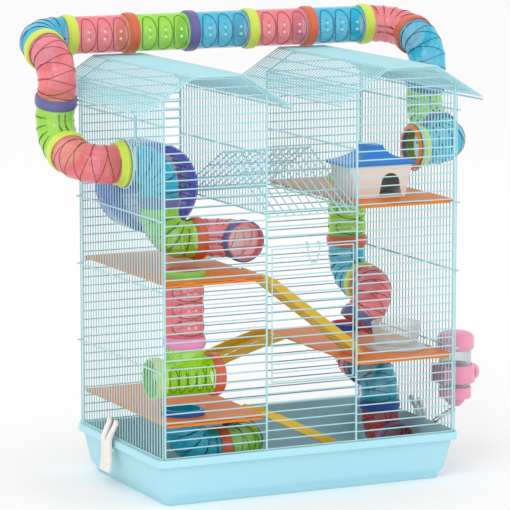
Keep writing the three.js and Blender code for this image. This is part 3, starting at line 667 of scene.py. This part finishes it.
def route(start, corner, end):
    """The middle line of a tube, as a function of the distance along it, and its length."""
    way, leaving = (corner - start).normalized(), (end - corner).normalized()
    angle = way.angle(leaving)
    if angle < 0.01:
        helper = Vector((1, 0, 0)) if abs(way.z) > 0.9 else Vector((0, 0, 1))
        across = helper.cross(way).normalized()
        return (lambda s: (start + way * s, way)), across, (end - start).length
    side = (leaving - way * math.cos(angle)).normalized()
    reach = min(ELBOW_LEG, (corner - start).length, (end - corner).length) - STUB
    bend = reach / math.tan(angle / 2)
    first = (corner - start).length - reach
    curved = bend * angle

    def at(s):
        if s < first:
            return start + way * s, way
        if s > first + curved:
            return corner + leaving * (reach + s - first - curved), leaving
        turn = (s - first) / bend
        place = start + way * (first + bend * math.sin(turn)) + side * (bend * (1 - math.cos(turn)))
        return place, way * math.cos(turn) + side * math.sin(turn)

    return at, way.cross(side), first + curved + (end - corner).length - reach


def on_tube(line, across, s, angle, radius):
    place, way = line(s)
    other = way.cross(across)
    return place + across * (radius * math.cos(angle)) + other * (radius * math.sin(angle))


def turned_along(line, across, profile, sides=48):
    """A closed profile of (distance along the line, radius) turned about a line, straight or bent."""
    turns = [i * math.tau / sides for i in range(sides)]
    return skinned([[on_tube(line, across, s, t, r) for t in turns] for s, r in profile], loops=True)


def ovals(line, across, first, last, count, colour, half_turn=62):
    """Raised ovals on the front and back of a tube, side by side, as thin ridges."""
    pitch = (last - first) / count
    parts = []
    for k in range(count):
        middle = first + pitch * (k + 0.5)
        for centre in (0, math.pi):
            ring = []
            for i in range(28):
                t = i * math.tau / 28
                s = middle + 0.46 * pitch * math.cos(t)
                angle = centre + math.radians(half_turn) * math.sin(t)
                ring.append(on_tube(line, across, s, angle, TUBE_R + 0.2))
            parts.append(wire_row(ring, 1.1, sides=6, loop=True, finish=RIB_SHADE_TINTS[colour]))
    return parts


def knobs(line, across, first, last, count):
    """A pair of round knobs in the middle of each oval."""
    pitch = (last - first) / count
    work = bmesh.new()
    for k in range(count):
        for centre in (0, 180):
            for step in (-11, 11):
                spot = on_tube(line, across, first + pitch * (k + 0.5), math.radians(centre + step), TUBE_R)
                bmesh.ops.create_uvsphere(
                    work, u_segments=12, v_segments=8, radius=2.3 * MM, matrix=Matrix.Translation(spot * MM)
                )
    mesh = bpy.data.meshes.new("knobs")
    work.to_mesh(mesh)
    work.free()
    settle(mesh)
    return mesh


def hoops(line, across, first, last, colour):
    """The grip of an elbow: curved ribs round the inside of its bend, and short bars along the outside."""
    count = max(3, round((last - first) / 8.5))
    parts = []
    for k in range(count + 1):
        s = first + (last - first) * k / count
        swing = 5 * (1 if k % 2 else -1)
        rib = []
        for i in range(25):
            angle = math.radians(-40 + 260 * i / 24)
            rib.append(on_tube(line, across, s + swing * math.cos(angle), angle, TUBE_R + 0.1))
        parts.append(wire_row(rib, 1.0, sides=6, finish=RIB_SHADE_TINTS[colour]))
        if k < count:
            for turn in (-100, -80):
                bar = [
                    on_tube(line, across, s + share * (last - first) / count, math.radians(turn), TUBE_R)
                    for share in (0.3, 0.5, 0.7)
                ]
                parts.append(wire_row(bar, 2.4, sides=8, finish=RIB_SHADE_TINTS[colour]))
    return parts


RING_COLOURS = {
    "yellow": ("#D2E45A", "#C8DA4E", "ring_yellow"),
    "green": ("#94DC64", "#88D05A", "ring_yellow"),
    "coral": ("#DA6A48", "#CE6040", "ring_coral"),
    "orange": ("#F09430", "#E68A28", "ring_orange"),
    "purple": ("#6C68A0", "#605C96", "ring_purple"),
    "blue": ("#2A5CB8", "#2452AA", "ring_blue"),
    "pink": ("#EE98C2", "#E68CB8", "ring_pink"),
}
RING_FINISH = {
    key: moulded(f"moulded_abs_{key}", colour, shade, roughness=0.3, mottle_mm=14)
    for key, (colour, shade, _) in RING_COLOURS.items()
}


def collar(name, line, across, start, wide, colour, radius=RING_R):
    """A stepped collar over the joint of two tubes."""
    inner = TUBE_R + 0.3
    profile = [
        (0.2, inner), (0.2, radius - 1.6), (0.8, radius - 1), (3, radius - 1), (3.6, radius),
        (wide - 3.6, radius), (wide - 3, radius - 1), (wide - 0.8, radius - 1), (wide - 0.2, radius - 1.6),
        (wide - 0.2, inner),
    ]
    mesh = turned_along(line, across, [(start + s, r) for s, r in profile])
    piece(name, mesh, RING_FINISH[colour], "cage", RING_COLOURS[colour][2])


def tube(name, colour, start, corner, end, head, tail, wide):
    line, across, length = route(start, corner, end)
    inner = TUBE_R - TUBE_WALL
    steps = 18
    stations = [length * i / steps for i in range(steps + 1)]
    profile = [(s, TUBE_R) for s in stations] + [(s, inner) for s in reversed(stations)]
    finish = TUBE_TINTS[colour][0]
    slot = "tube_" + colour
    piece(name + "_shell", turned_along(line, across, profile), finish, "cage", slot, name)
    first = (wide if head else 0) + 2
    last = length - (wide if tail else 0) - 2
    straight = (end - start).angle(corner - start) < 0.01
    count = max(2, round((last - first) / 25))
    ridges = together(
        ovals(line, across, first, last, count, colour)
        if straight
        else hoops(line, across, first, last, colour)
    )
    piece(name + "_ridges", ridges, RIB_SHADE_TINTS[colour], "cage", slot)
    if straight:
        piece(name + "_knobs", knobs(line, across, first, last, count), KNOB_HIGHLIGHT_TINTS[colour], "cage", slot)
    if head:
        collar(name + "_collar", line, across, 0, wide, head)
    if tail:
        collar(name + "_mouth", line, across, length - wide, wide, tail)


def lay(start, way, pieces, wide=RING_WIDE):
    """Lays tubes end to end. Each is (name, colour, way out, reach, far reach, head collar, tail collar)."""
    for name, colour, leaving, leg, out, head, tail in pieces:
        run_in = (wide if head else 0) + leg
        corner = start + way * run_in
        turn = leaving or way
        end = corner + turn * ((out if leaving else 0) + (wide if tail else 0))
        tube(name, colour, start, corner if leaving else start + way, end - turn * GAP, head, tail, wide)
        start, way = end, turn
    return start


RIGHT, LEFT = Vector((1, 0, 0)), Vector((-1, 0, 0))
FRONT, BACK, DOWN = Vector((0, -1, 0)), Vector((0, 1, 0)), Vector((0, 0, -1))
tilt = math.radians(14)
LEVEL = Vector((0, -math.cos(tilt), -math.sin(tilt)))
STEEP = Vector((0, math.sin(tilt), -math.cos(tilt)))

first_low, first_high = [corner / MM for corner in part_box("top_tube_1")]
last_low, last_high = [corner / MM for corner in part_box("top_tube_5")]
run_start = Vector((first_low.x, (first_low.y + first_high.y) / 2, (first_low.z + first_high.z) / 2))
run_pitch = (last_low.x - first_low.x) / 4
run = [("pink", "yellow"), ("lime", "coral"), ("blue", "purple"), ("pink", "yellow"), ("blue", "coral")]
run_end = lay(
    run_start,
    RIGHT,
    [
        (f"top_tube_{i + 1}", colour, None, run_pitch - RING_WIDE, 0, ring, "yellow" if i == 4 else None)
        for i, (colour, ring) in enumerate(run)
    ],
)
entry_reach = -ring_low.x + GAP


def descent(side, start, colours, rings, away, back):
    corner_x = abs(start.x) + ELBOW_LEG
    names = [f"{side}_elbow_{i + 1}" for i in range(4)]
    lay(start + away * GAP, away, [
        (names[0], colours[0], LEVEL, ELBOW_LEG - GAP, ELBOW_LEG, None, None),
        (names[1], colours[1], STEEP, ELBOW_LEG, ELBOW_LEG, rings[0], None),
        (names[2], colours[2], LEVEL, ELBOW_LEG, ELBOW_LEG, rings[1], None),
        (names[3], colours[3], back, ELBOW_LEG, corner_x - entry_reach, rings[2], None),
    ])


descent("left", run_start, ["blue", "pink", "lime", "pink"], ["yellow", "purple", "yellow"], LEFT, RIGHT)
descent("right", run_end, ["pink", "blue", "lime", "blue"], ["coral", "purple", "purple"], RIGHT, LEFT)


def entry_ring(side):
    """Two rings that grip the side wires between them: orange inside the cage and yellow outside."""
    way = Vector((side, 0, 0))
    inner_face = ring_high.x if side < 0 else -ring_high.x
    start = Vector((side * abs(ring_high.x), entry_y, entry_z))
    line = lambda s: (start + way * s, way)
    across = Vector((0, 1, 0))
    total = ring_high.x - ring_low.x
    big = (ring_high.z - ring_low.z) / 2
    wires_at = abs(wall_x) - abs(ring_high.x)
    bore = TUBE_R - TUBE_WALL
    inside = [(0, bore + 1), (0, big - 2), (1.2, big - 0.4), (wires_at - 1.8, big - 0.4), (wires_at - 1.2, bore + 1)]
    outside = [
        (wires_at + 1.2, bore), (wires_at + 1.2, big - 0.6), (wires_at + 2, big), (wires_at + 6, big),
        (wires_at + 7, big - 2), (total, big - 3), (total, bore),
    ]
    neck = [(0.4, bore), (0.4, bore + 1.6), (total - 1, bore + 1.6), (total - 1, bore)]
    name = "left" if side < 0 else "right"
    piece(
        f"{name}_entry_inner", turned_along(line, across, inside), RING_FINISH["orange"], "cage", "ring_orange"
    )
    piece(f"{name}_entry_neck", turned_along(line, across, neck), RING_FINISH["purple"], "cage", "ring_purple")
    piece(
        f"{name}_entry_outer", turned_along(line, across, outside), RING_FINISH["yellow"], "cage",
        "ring_yellow", f"entry_ring_{name}",
    )


entry_ring(-1)
entry_ring(1)

lay(Vector((ring_high.x + GAP, entry_y, entry_z)), RIGHT, [
    ("wheel_tube_1", "blue", DOWN, ELBOW_LEG, ELBOW_LEG, None, None),
    ("wheel_tube_2", "lime", RIGHT, ELBOW_LEG, ELBOW_LEG, "purple", None),
    ("wheel_tube_3", "pink", FRONT, SHORT_LEG, SHORT_LEG, "coral", "purple"),
])
tee_low, tee_high = [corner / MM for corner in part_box("tee_tube")]
lay(upper_left, DOWN, [
    ("shelf_tube", "pink", None, upper_left.z - RING_WIDE - tee_high.z, 0, "green", None),
])


def tee():
    """A straight with a branch: the branch is joined to it and both are bored by one boolean."""
    middle = Vector(((tee_low.x + tee_high.x) / 2, (tee_low.y + tee_high.y) / 2, tee_low.z + RING_R))
    half = (tee_high.x - tee_low.x) / 2

    def bar(start, way, length, radius):
        across = Vector((0, 1, 0))
        turns = [i * math.tau / 48 for i in range(48)]
        rings = []
        for s in (0, length):
            other = way.cross(across)
            place = start + way * s
            rings.append([place + across * radius * math.cos(t) + other * radius * math.sin(t) for t in turns])
        mesh = skinned(rings)
        made = bpy.data.objects.new("bar", mesh)
        bpy.context.scene.collection.objects.link(made)
        return made

    up = Vector((0, 0, 1))
    rise = tee_high.z - RING_WIDE - middle.z
    body = bar(middle - RIGHT * (half - 1), RIGHT, 2 * half - 2, TUBE_R)
    tools = [
        (bar(middle, up, rise, TUBE_R), "UNION"),
        (bar(middle - RIGHT * (half + 2), RIGHT, 2 * half + 4, TUBE_R - TUBE_WALL), "DIFFERENCE"),
        (bar(middle, up, rise + 4, TUBE_R - TUBE_WALL - 0.05), "DIFFERENCE"),
    ]
    for tool, work in tools:
        join = body.modifiers.new("join", "BOOLEAN")
        join.object = tool
        join.operation = work
        join.solver = "EXACT"
    mesh = bpy.data.meshes.new_from_object(body.evaluated_get(bpy.context.evaluated_depsgraph_get()))
    for spare in [body] + [tool for tool, _ in tools]:
        bpy.data.objects.remove(spare)
    settle(mesh)
    piece("tee_shell", mesh, TUBE_TINTS["lime"][0], "cage", "tube_lime", "tee_tube")
    flat = (lambda s: (middle - RIGHT * half + RIGHT * s, RIGHT))
    upright = (lambda s: (middle + up * s, up))
    side, forward = Vector((0, 0, 1)), Vector((0, 1, 0))
    collar("tee_left_mouth", flat, side, 0, RING_WIDE, "yellow")
    collar("tee_right_mouth", flat, side, 2 * half - RING_WIDE, RING_WIDE, "coral")
    collar("tee_collar", upright, forward, rise, RING_WIDE, "pink")
    ridges = ovals(flat, forward, RING_WIDE + 2, 2 * half - RING_WIDE - 2, 5, "lime", 40)
    piece("tee_ridges", together(ridges), RIB_SHADE_TINTS["lime"], "cage", "tube_lime")


tee()
LOW_LEG = 44.0
lay(lower_left, DOWN, [("tray_tube_1", "blue", RIGHT, LOW_LEG, ELBOW_LEG, "blue", None)])
tray_start = lower_left + DOWN * (RING_WIDE + LOW_LEG) + RIGHT * ELBOW_LEG
lay(tray_start, RIGHT, [("tray_tube_2", "lime", BACK, LOW_LEG, LOW_LEG - 2, "coral", "purple")])
ASLANT = Vector((-0.63, 0, -0.777)).normalized()
drop_low, _ = [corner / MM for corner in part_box("drop_tube_1")]
lay(upper_right, DOWN, [
    ("drop_tube_1", "lime", None, upper_right.z - RING_WIDE - drop_low.z + GAP, 0, "yellow", None),
    ("drop_tube_2", "blue", FRONT, ELBOW_LEG, ELBOW_LEG, "coral", None),
    ("drop_tube_3", "pink", ASLANT, ELBOW_LEG, ELBOW_LEG, "yellow", "purple"),
])
lay(middle_right, DOWN, [
    ("foot_tube_1", "pink", FRONT, SHORT_LEG, SHORT_LEG, "blue", None),
    ("foot_tube_2", "blue", DOWN, SHORT_LEG, SHORT_LEG, "purple", None),
    ("foot_tube_3", "red", FRONT, SHORT_LEG, SHORT_LEG, "blue", "purple"),
], wide=RING_WIDE - 2)


# ---- Ladders ----
# Mustard yellow planks, each a row of slots between two raised rails, with a hook at the top that rocks
# on the shelf edge. The one between the two lower shelves is arched, and has round holes.
ladder_plastic = moulded("moulded_polystyrene_yellow", "#E2B92E", "#D8AE26", roughness=0.36, mottle_mm=30)


def ladder(node, body, high_end, low_end, y, wide, tall, arch=0.0):
    """A plank from its hook at the high end to its foot, slotted across, on a grid that bends."""
    run, fall = low_end[0] - high_end[0], high_end[1] - low_end[1]
    length = math.hypot(run, fall)
    way = Vector((run / length, 0, -fall / length))
    up = Vector((0, -1, 0)).cross(way) * (1 if run < 0 else -1)
    if up.z < 0:
        up = -up
    cells = 2 * round(length / 15 / 2 * 2) + 1
    across = [-wide / 2, -wide / 2 + 5, -5, 5, wide / 2 - 5, wide / 2]
    if arch:
        across = [-wide / 2, -wide / 2 + 14, -9, 9, wide / 2 - 14, wide / 2]
    points, faces = [], []
    for i in range(cells + 1):
        s = length * i / cells
        lift = arch * math.sin(math.pi * i / cells)
        for v in across:
            points.append((Vector((high_end[0], y + v, high_end[1])) + way * s + up * lift) * MM)
    side = len(across)
    for i in range(cells):
        slotted = i % 2 == 1 and 0 < i < cells - 1
        for j in range(side - 1):
            open_here = slotted and (j == 2 if arch else j in (1, 2, 3))
            if not open_here:
                a = i * side + j
                faces.append((a, a + side, a + side + 1, a + 1))
    mesh = bpy.data.meshes.new("plank")
    mesh.from_pydata(points, [], faces)
    carrier = bpy.data.objects.new("carrier", mesh)
    bpy.context.scene.collection.objects.link(carrier)
    thick = carrier.modifiers.new("thick", "SOLIDIFY")
    thick.thickness = 2.4 * MM
    thick.offset = 0
    edge = carrier.modifiers.new("edge", "BEVEL")
    edge.width = 0.7 * MM
    edge.segments = 2
    edge.limit_method = "ANGLE"
    plank = bpy.data.meshes.new_from_object(carrier.evaluated_get(bpy.context.evaluated_depsgraph_get()))
    bpy.data.objects.remove(carrier)
    settle(plank)
    parts = [plank]
    for v in (-wide / 2 + 1.3, wide / 2 - 1.3):
        strip = []
        for i in range(25):
            lift = arch * math.sin(math.pi * i / 24)
            tail = min(1, 0.35 + 6 * i / 24, 0.35 + 6 * (24 - i) / 24)
            place = Vector((high_end[0], y + v, high_end[1])) + way * (length * i / 24) + up * lift
            side_step, rise = Vector((0, 1.2, 0)), up * tall * tail
            strip.append([place - side_step, place + side_step, place + side_step + rise, place - side_step + rise])
        parts.append(skinned(strip))
    piece(node + "_plank", together(parts), ladder_plastic, body, "ladder_plastic", node)


for node, body, rises_left in [
    ("ladder_upper", "upper_ladder", True),
    ("ladder_floor", "floor_ladder", True),
    ("ladder_bridge", "bridge_ladder", False),
]:
    low, high = [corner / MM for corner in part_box(node)]
    run, wide, rail = high.x - low.x, high.y - low.y, 12
    slope = math.atan2(high.z - low.z - rail, run)
    top_x, foot_x = (low.x + 0.6, high.x - rail * math.sin(slope)) if rises_left else (
        high.x - 0.6, low.x + rail * math.sin(slope))
    top, foot = high.z - rail * math.cos(slope), low.z + 1.3
    arch = 0 if rises_left else 5
    ladder(node, body, (top_x, top), (foot_x, foot), (low.y + high.y) / 2, wide, rail - 1.5, arch)


# ---- Exercise wheel ----
# A drum of tinted indigo polystyrene, open at the front, with raised treads inside and a solid back that
# turns on an axle. The bracket behind it clips to the back wires.
wheel_plastic = moulded("tinted_polystyrene_indigo", "#6468DC", "#585CD0", roughness=0.16, alpha=0.5, edge=0.85, mottle_mm=40)
low, high = [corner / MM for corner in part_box("exercise_wheel")]
wheel_mid = Vector(((low.x + high.x) / 2, high.y, (low.z + high.z) / 2))
wheel_r, wheel_wide = (high.x - low.x) / 2, high.y - low.y
axle = lambda s: (wheel_mid + FRONT * s, FRONT)
drum = turned_along(axle, RIGHT, [
    (1.2, 5.6), (0.2, 9), (0.2, wheel_r - 4), (1.2, wheel_r - 1), (3, wheel_r), (wheel_wide - 3, wheel_r),
    (wheel_wide - 0.6, wheel_r - 0.8), (wheel_wide, wheel_r - 3), (wheel_wide, wheel_r - 12),
    (wheel_wide - 2, wheel_r - 12.5), (wheel_wide - 2.2, wheel_r - 3), (4, wheel_r - 2.2),
    (2.6, wheel_r - 5), (2.4, 12), (5, 10), (5, 5.6),
], sides=96)
treads = []
for i in range(48):
    t = i * math.tau / 48
    place = wheel_mid + RIGHT * ((wheel_r - 2.6) * math.cos(t)) + Vector((0, 0, 1)) * ((wheel_r - 2.6) * math.sin(t))
    treads.append(wire_row([place + FRONT * 4, place + FRONT * (wheel_wide - 4)], 1.8, sides=6))
piece("wheel_drum", drum, wheel_plastic, "wheel", "wheel_plastic", "exercise_wheel")
piece("wheel_treads", together(treads), wheel_plastic, "wheel", "wheel_plastic")

low, high = [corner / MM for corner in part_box("wheel_bracket")]
bracket_mid = Vector(((low.x + high.x) / 2, high.y, (low.z + high.z) / 2))
plate_half = (high.x - low.x) / 2
bracket_plate = flat_plate(
    [arc(plate_half - 6, plate_half - 6, 6, 0, 90) + arc(6 - plate_half, plate_half - 6, 6, 90, 180)
     + arc(6 - plate_half, 6 - plate_half, 6, 180, 270) + arc(plate_half - 6, 6 - plate_half, 6, 270, 360)],
    3, 0.8, Matrix.Translation((bracket_mid + FRONT * 1.6) * MM) @ UPRIGHT_FRONT,
)
stem = lambda s: (bracket_mid + FRONT * s, FRONT)
spindle = turned_along(stem, RIGHT, [
    (1, 0.3), (1, 12), (4, 11), (8, 9), (35, 9), (35.4, 8.4), (35.4, 5), (high.y - low.y - 0.8, 5),
    (high.y - low.y, 4.2), (high.y - low.y, 0.3),
])
piece("wheel_axle", together([bracket_plate, spindle]), wheel_plastic, "cage", "wheel_plastic", "wheel_bracket")


# ---- Hut ----
# A little house in two mouldings: off-white walls that flare upwards, with an arched doorway, and a
# lift-off blue roof whose four slopes curve inwards to a flat top.
hut_white = moulded("moulded_polystyrene_ivory", "#F2E6DE", "#E9DCD3", roughness=0.4, mottle_mm=30)
hut_blue = moulded("moulded_polystyrene_royal_blue", "#1F80D6", "#1974C8", roughness=0.28, mottle_mm=30)
low, high = [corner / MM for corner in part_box("hut_body")]
hut_mid = ((low.x + high.x) / 2, (low.y + high.y) / 2)
hut_top_x, hut_top_y = (high.x - low.x) / 2, (high.y - low.y) / 2
hut_foot_x, hut_foot_y = hut_top_x - 10, hut_top_y - 2


def hut_walls():
    def ring(inset, z):
        share = (z - low.z) / (high.z - low.z)
        half_x = hut_foot_x + (hut_top_x - hut_foot_x) * share - inset
        half_y = hut_foot_y + (hut_top_y - hut_foot_y) * share - inset
        return rounded(half_x, half_y, 3, z, hut_mid)

    walls = skinned([ring(0, low.z), ring(0, high.z), ring(2.2, high.z), ring(2.2, low.z + 2.4)])
    shell = bpy.data.objects.new("shell", walls)
    bpy.context.scene.collection.objects.link(shell)
    outline = [(-18, 0)] + arc(0, 18, 14.5, 180, 0, 20) + [(18, 0)]
    place = Matrix.Translation(((hut_mid[0] + 15) * MM, (low.y - 2) * MM, (low.z + 2.4) * MM))
    doorway = flat_plate([outline], 30, 0.01, place @ UPRIGHT_FRONT)
    tool = bpy.data.objects.new("doorway", doorway)
    bpy.context.scene.collection.objects.link(tool)
    opening = shell.modifiers.new("opening", "BOOLEAN")
    opening.object = tool
    opening.solver = "EXACT"
    mesh = bpy.data.meshes.new_from_object(shell.evaluated_get(bpy.context.evaluated_depsgraph_get()))
    bpy.data.objects.remove(shell)
    bpy.data.objects.remove(tool)
    settle(mesh, 30)
    return mesh


piece("hut_walls", hut_walls(), hut_white, "cage", "hut_plastic", "hut_body")
low, high = [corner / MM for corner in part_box("hut_roof")]
eave_x, eave_y = (high.x - low.x) / 2, (high.y - low.y) / 2
roof_rings = [rounded(eave_x - 1, eave_y - 1, 2, low.z, hut_mid), rounded(eave_x, eave_y, 3, low.z + 1, hut_mid),
              rounded(eave_x, eave_y, 3, low.z + 3.2, hut_mid), rounded(eave_x - 1, eave_y - 1, 2.4, low.z + 4, hut_mid)]
for i in range(1, 13):
    share = i / 12
    narrow = 1 - (1 - share) ** 1.9
    roof_rings.append(rounded(
        eave_x - 1 - (eave_x - 12) * narrow * 1.0, eave_y - 1 - (eave_y - 20) * narrow * 1.0,
        2.4, low.z + 4 + (high.z - low.z - 4.6) * share ** 1.25, hut_mid,
    ))
roof_rings.append(rounded(10, 18, 2, high.z, hut_mid))
piece("hut_roof_shell", skinned(roof_rings), hut_blue, "hut_lid", "hut_roof_plastic", "hut_roof")


# ---- Food bowl ----
# A round dish of clear polystyrene with a wide foot, thin enough to see the shelf through.
clear_plastic = moulded("clear_polystyrene", "#DCE8EC", "#D2E0E5", roughness=0.05, alpha=0.16, edge=0.9, mottle_mm=50, grain=0.01)
low, high = [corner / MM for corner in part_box("food_bowl")]
bowl_mid = Vector(((low.x + high.x) / 2, (low.y + high.y) / 2, low.z))
foot_r, tall = (high.x - low.x) / 2, high.z - low.z
UP = Vector((0, 0, 1))
bowl_axis = lambda s: (bowl_mid + UP * s, UP)
bowl = turned_along(bowl_axis, RIGHT, [
    (0, 0.3), (0, foot_r - 0.6), (0.6, foot_r), (2, foot_r), (2.6, foot_r - 0.8), (5, 32.5), (7, 31.5),
    (tall - 2, 35.6), (tall - 0.6, 36.4), (tall, 35.8), (tall - 0.4, 34.6), (8.5, 29), (7.4, 27), (7.2, 0.3),
], sides=64)
piece("bowl_dish", bowl, clear_plastic, "cage", "clear_plastic", "food_bowl")


# ---- Water bottle ----
# A clear bottle between two pink caps, held outside the right wall by a pink ring. A steel sipper tube
# slants down from the lower cap through the side wires.
bottle_pink = moulded("moulded_polypropylene_pink", "#EE9CB8", "#E68FAD", roughness=0.33, mottle_mm=25)
low, high = [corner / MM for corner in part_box("bottle_body")]
bottle_mid = Vector(((low.x + high.x) / 2, (low.y + high.y) / 2, 0))
bottle_r = (high.x - low.x) / 2
upright = lambda s: (bottle_mid + UP * s, UP)
glass = turned_along(upright, RIGHT, [
    (low.z, 0.3), (low.z, bottle_r - 2), (low.z + 2, bottle_r), (high.z - 2, bottle_r), (high.z, bottle_r - 1),
    (high.z, 0.3), (high.z - 1.2, 0.3), (high.z - 1.4, bottle_r - 1.4), (low.z + 1.4, bottle_r - 1.4), (low.z + 1.4, 0.3),
], sides=64)
piece("bottle_clear", glass, clear_plastic, "bottle", "clear_plastic", "bottle_body")

low, high = [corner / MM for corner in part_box("bottle_top_cap")]
cap_r = (high.x - low.x) / 2
top_cap = turned_along(upright, RIGHT, [
    (low.z, 0.3), (low.z, cap_r - 0.6), (low.z + 0.8, cap_r), (high.z - 10, cap_r), (high.z - 6, cap_r - 1),
    (high.z - 2.6, cap_r - 4.5), (high.z - 0.8, cap_r - 9), (high.z, cap_r - 15), (high.z, 0.3),
], sides=64)
piece("bottle_cap", top_cap, bottle_pink, "bottle_lid", "bottle_plastic", "bottle_top_cap")

low, high = [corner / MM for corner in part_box("bottle_lower_cap")]
lower_cap = turned_along(upright, RIGHT, [
    (low.z, 0.3), (low.z, 8), (low.z + 1.5, 9.2), (low.z + 6, 13), (low.z + 7.5, 14), (low.z + 11, 14),
    (low.z + 12, bottle_r - 1), (low.z + 13, bottle_r), (high.z - 1, bottle_r), (high.z, bottle_r - 1),
    (high.z, 0.3),
], sides=64)
piece("bottle_foot", lower_cap, bottle_pink, "bottle", "bottle_plastic", "bottle_lower_cap")

low, high = [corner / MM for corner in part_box("bottle_holder")]
holder_r = (high.y - low.y) / 2
ring_mid = Vector((bottle_mid.x, bottle_mid.y, 0))
holder_axis = lambda s: (ring_mid + UP * s, UP)
bore = bottle_r + 1
holder_ring = turned_along(holder_axis, RIGHT, [
    (low.z, bore), (low.z, holder_r - 1), (low.z + 1, holder_r), (high.z - 1, holder_r), (high.z, holder_r - 1),
    (high.z, bore),
], sides=64)
bulge_mid = Vector((bottle_mid.x + holder_r - 1, bottle_mid.y, (low.z + high.z) / 2))
bulge_axis = lambda s: (bulge_mid + RIGHT * s, RIGHT)
reach_out = high.x - bulge_mid.x
bulge = turned_along(bulge_axis, BACK, [
    (0, 0.3), (0, 12), (reach_out * 0.5, 11.4), (reach_out * 0.85, 8.6), (reach_out, 4), (reach_out, 0.3),
])
arm_half = (bottle_mid.x - bore - low.x) / 2 - 0.4  # it stops short of the bore
arm_mid = (low.x + arm_half, bottle_mid.y)
arm = skinned([rounded(arm_half, 21, 1.5, z, arm_mid) for z in (low.z, high.z)])
piece(
    "bottle_ring", together([holder_ring, bulge, arm]), bottle_pink, "cage", "bottle_plastic", "bottle_holder"
)

# The sipper is drawn stainless steel tube: bright, with fine lines along it.
steel = bpy.data.materials.new("drawn_stainless_steel")
steel.use_nodes = True
steel_tree = steel.node_tree
steel_shader = steel_tree.nodes["Principled BSDF"]
steel_shader.inputs["Metallic"].default_value = 1.0
place = add_node(steel_tree, "ShaderNodeTexCoord").outputs["Object"]
lines = add_node(steel_tree, "ShaderNodeTexNoise", {"Vector": place, "Scale": 1400.0})
shine = add_node(steel_tree, "ShaderNodeMapRange", {"Value": lines.outputs["Fac"], "To Min": 0.2, "To Max": 0.36})
steel_tree.links.new(shine.outputs["Result"], steel_shader.inputs["Roughness"])
steel_shader.inputs["Base Color"].default_value = linear("#CFCFCB")
low, high = [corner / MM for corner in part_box("sipper_tube")]
tube_r = 3.4
tip = Vector((low.x + 2.4, bottle_mid.y, low.z + 2.6))
root = Vector((high.x - 2.4, bottle_mid.y, high.z - 2.6))
slant = (tip - root).normalized()
sip_axis = lambda s: (root + slant * s, slant)
sip_length = (tip - root).length
sipper = turned_along(sip_axis, BACK, [
    (0, 0.8), (0, tube_r), (sip_length - 1, tube_r), (sip_length, tube_r - 0.8), (sip_length, 1.4),
    (sip_length - 3, 1.2),
], sides=24)
piece("sipper_steel", sipper, steel, "bottle", "steel", "sipper_tube")
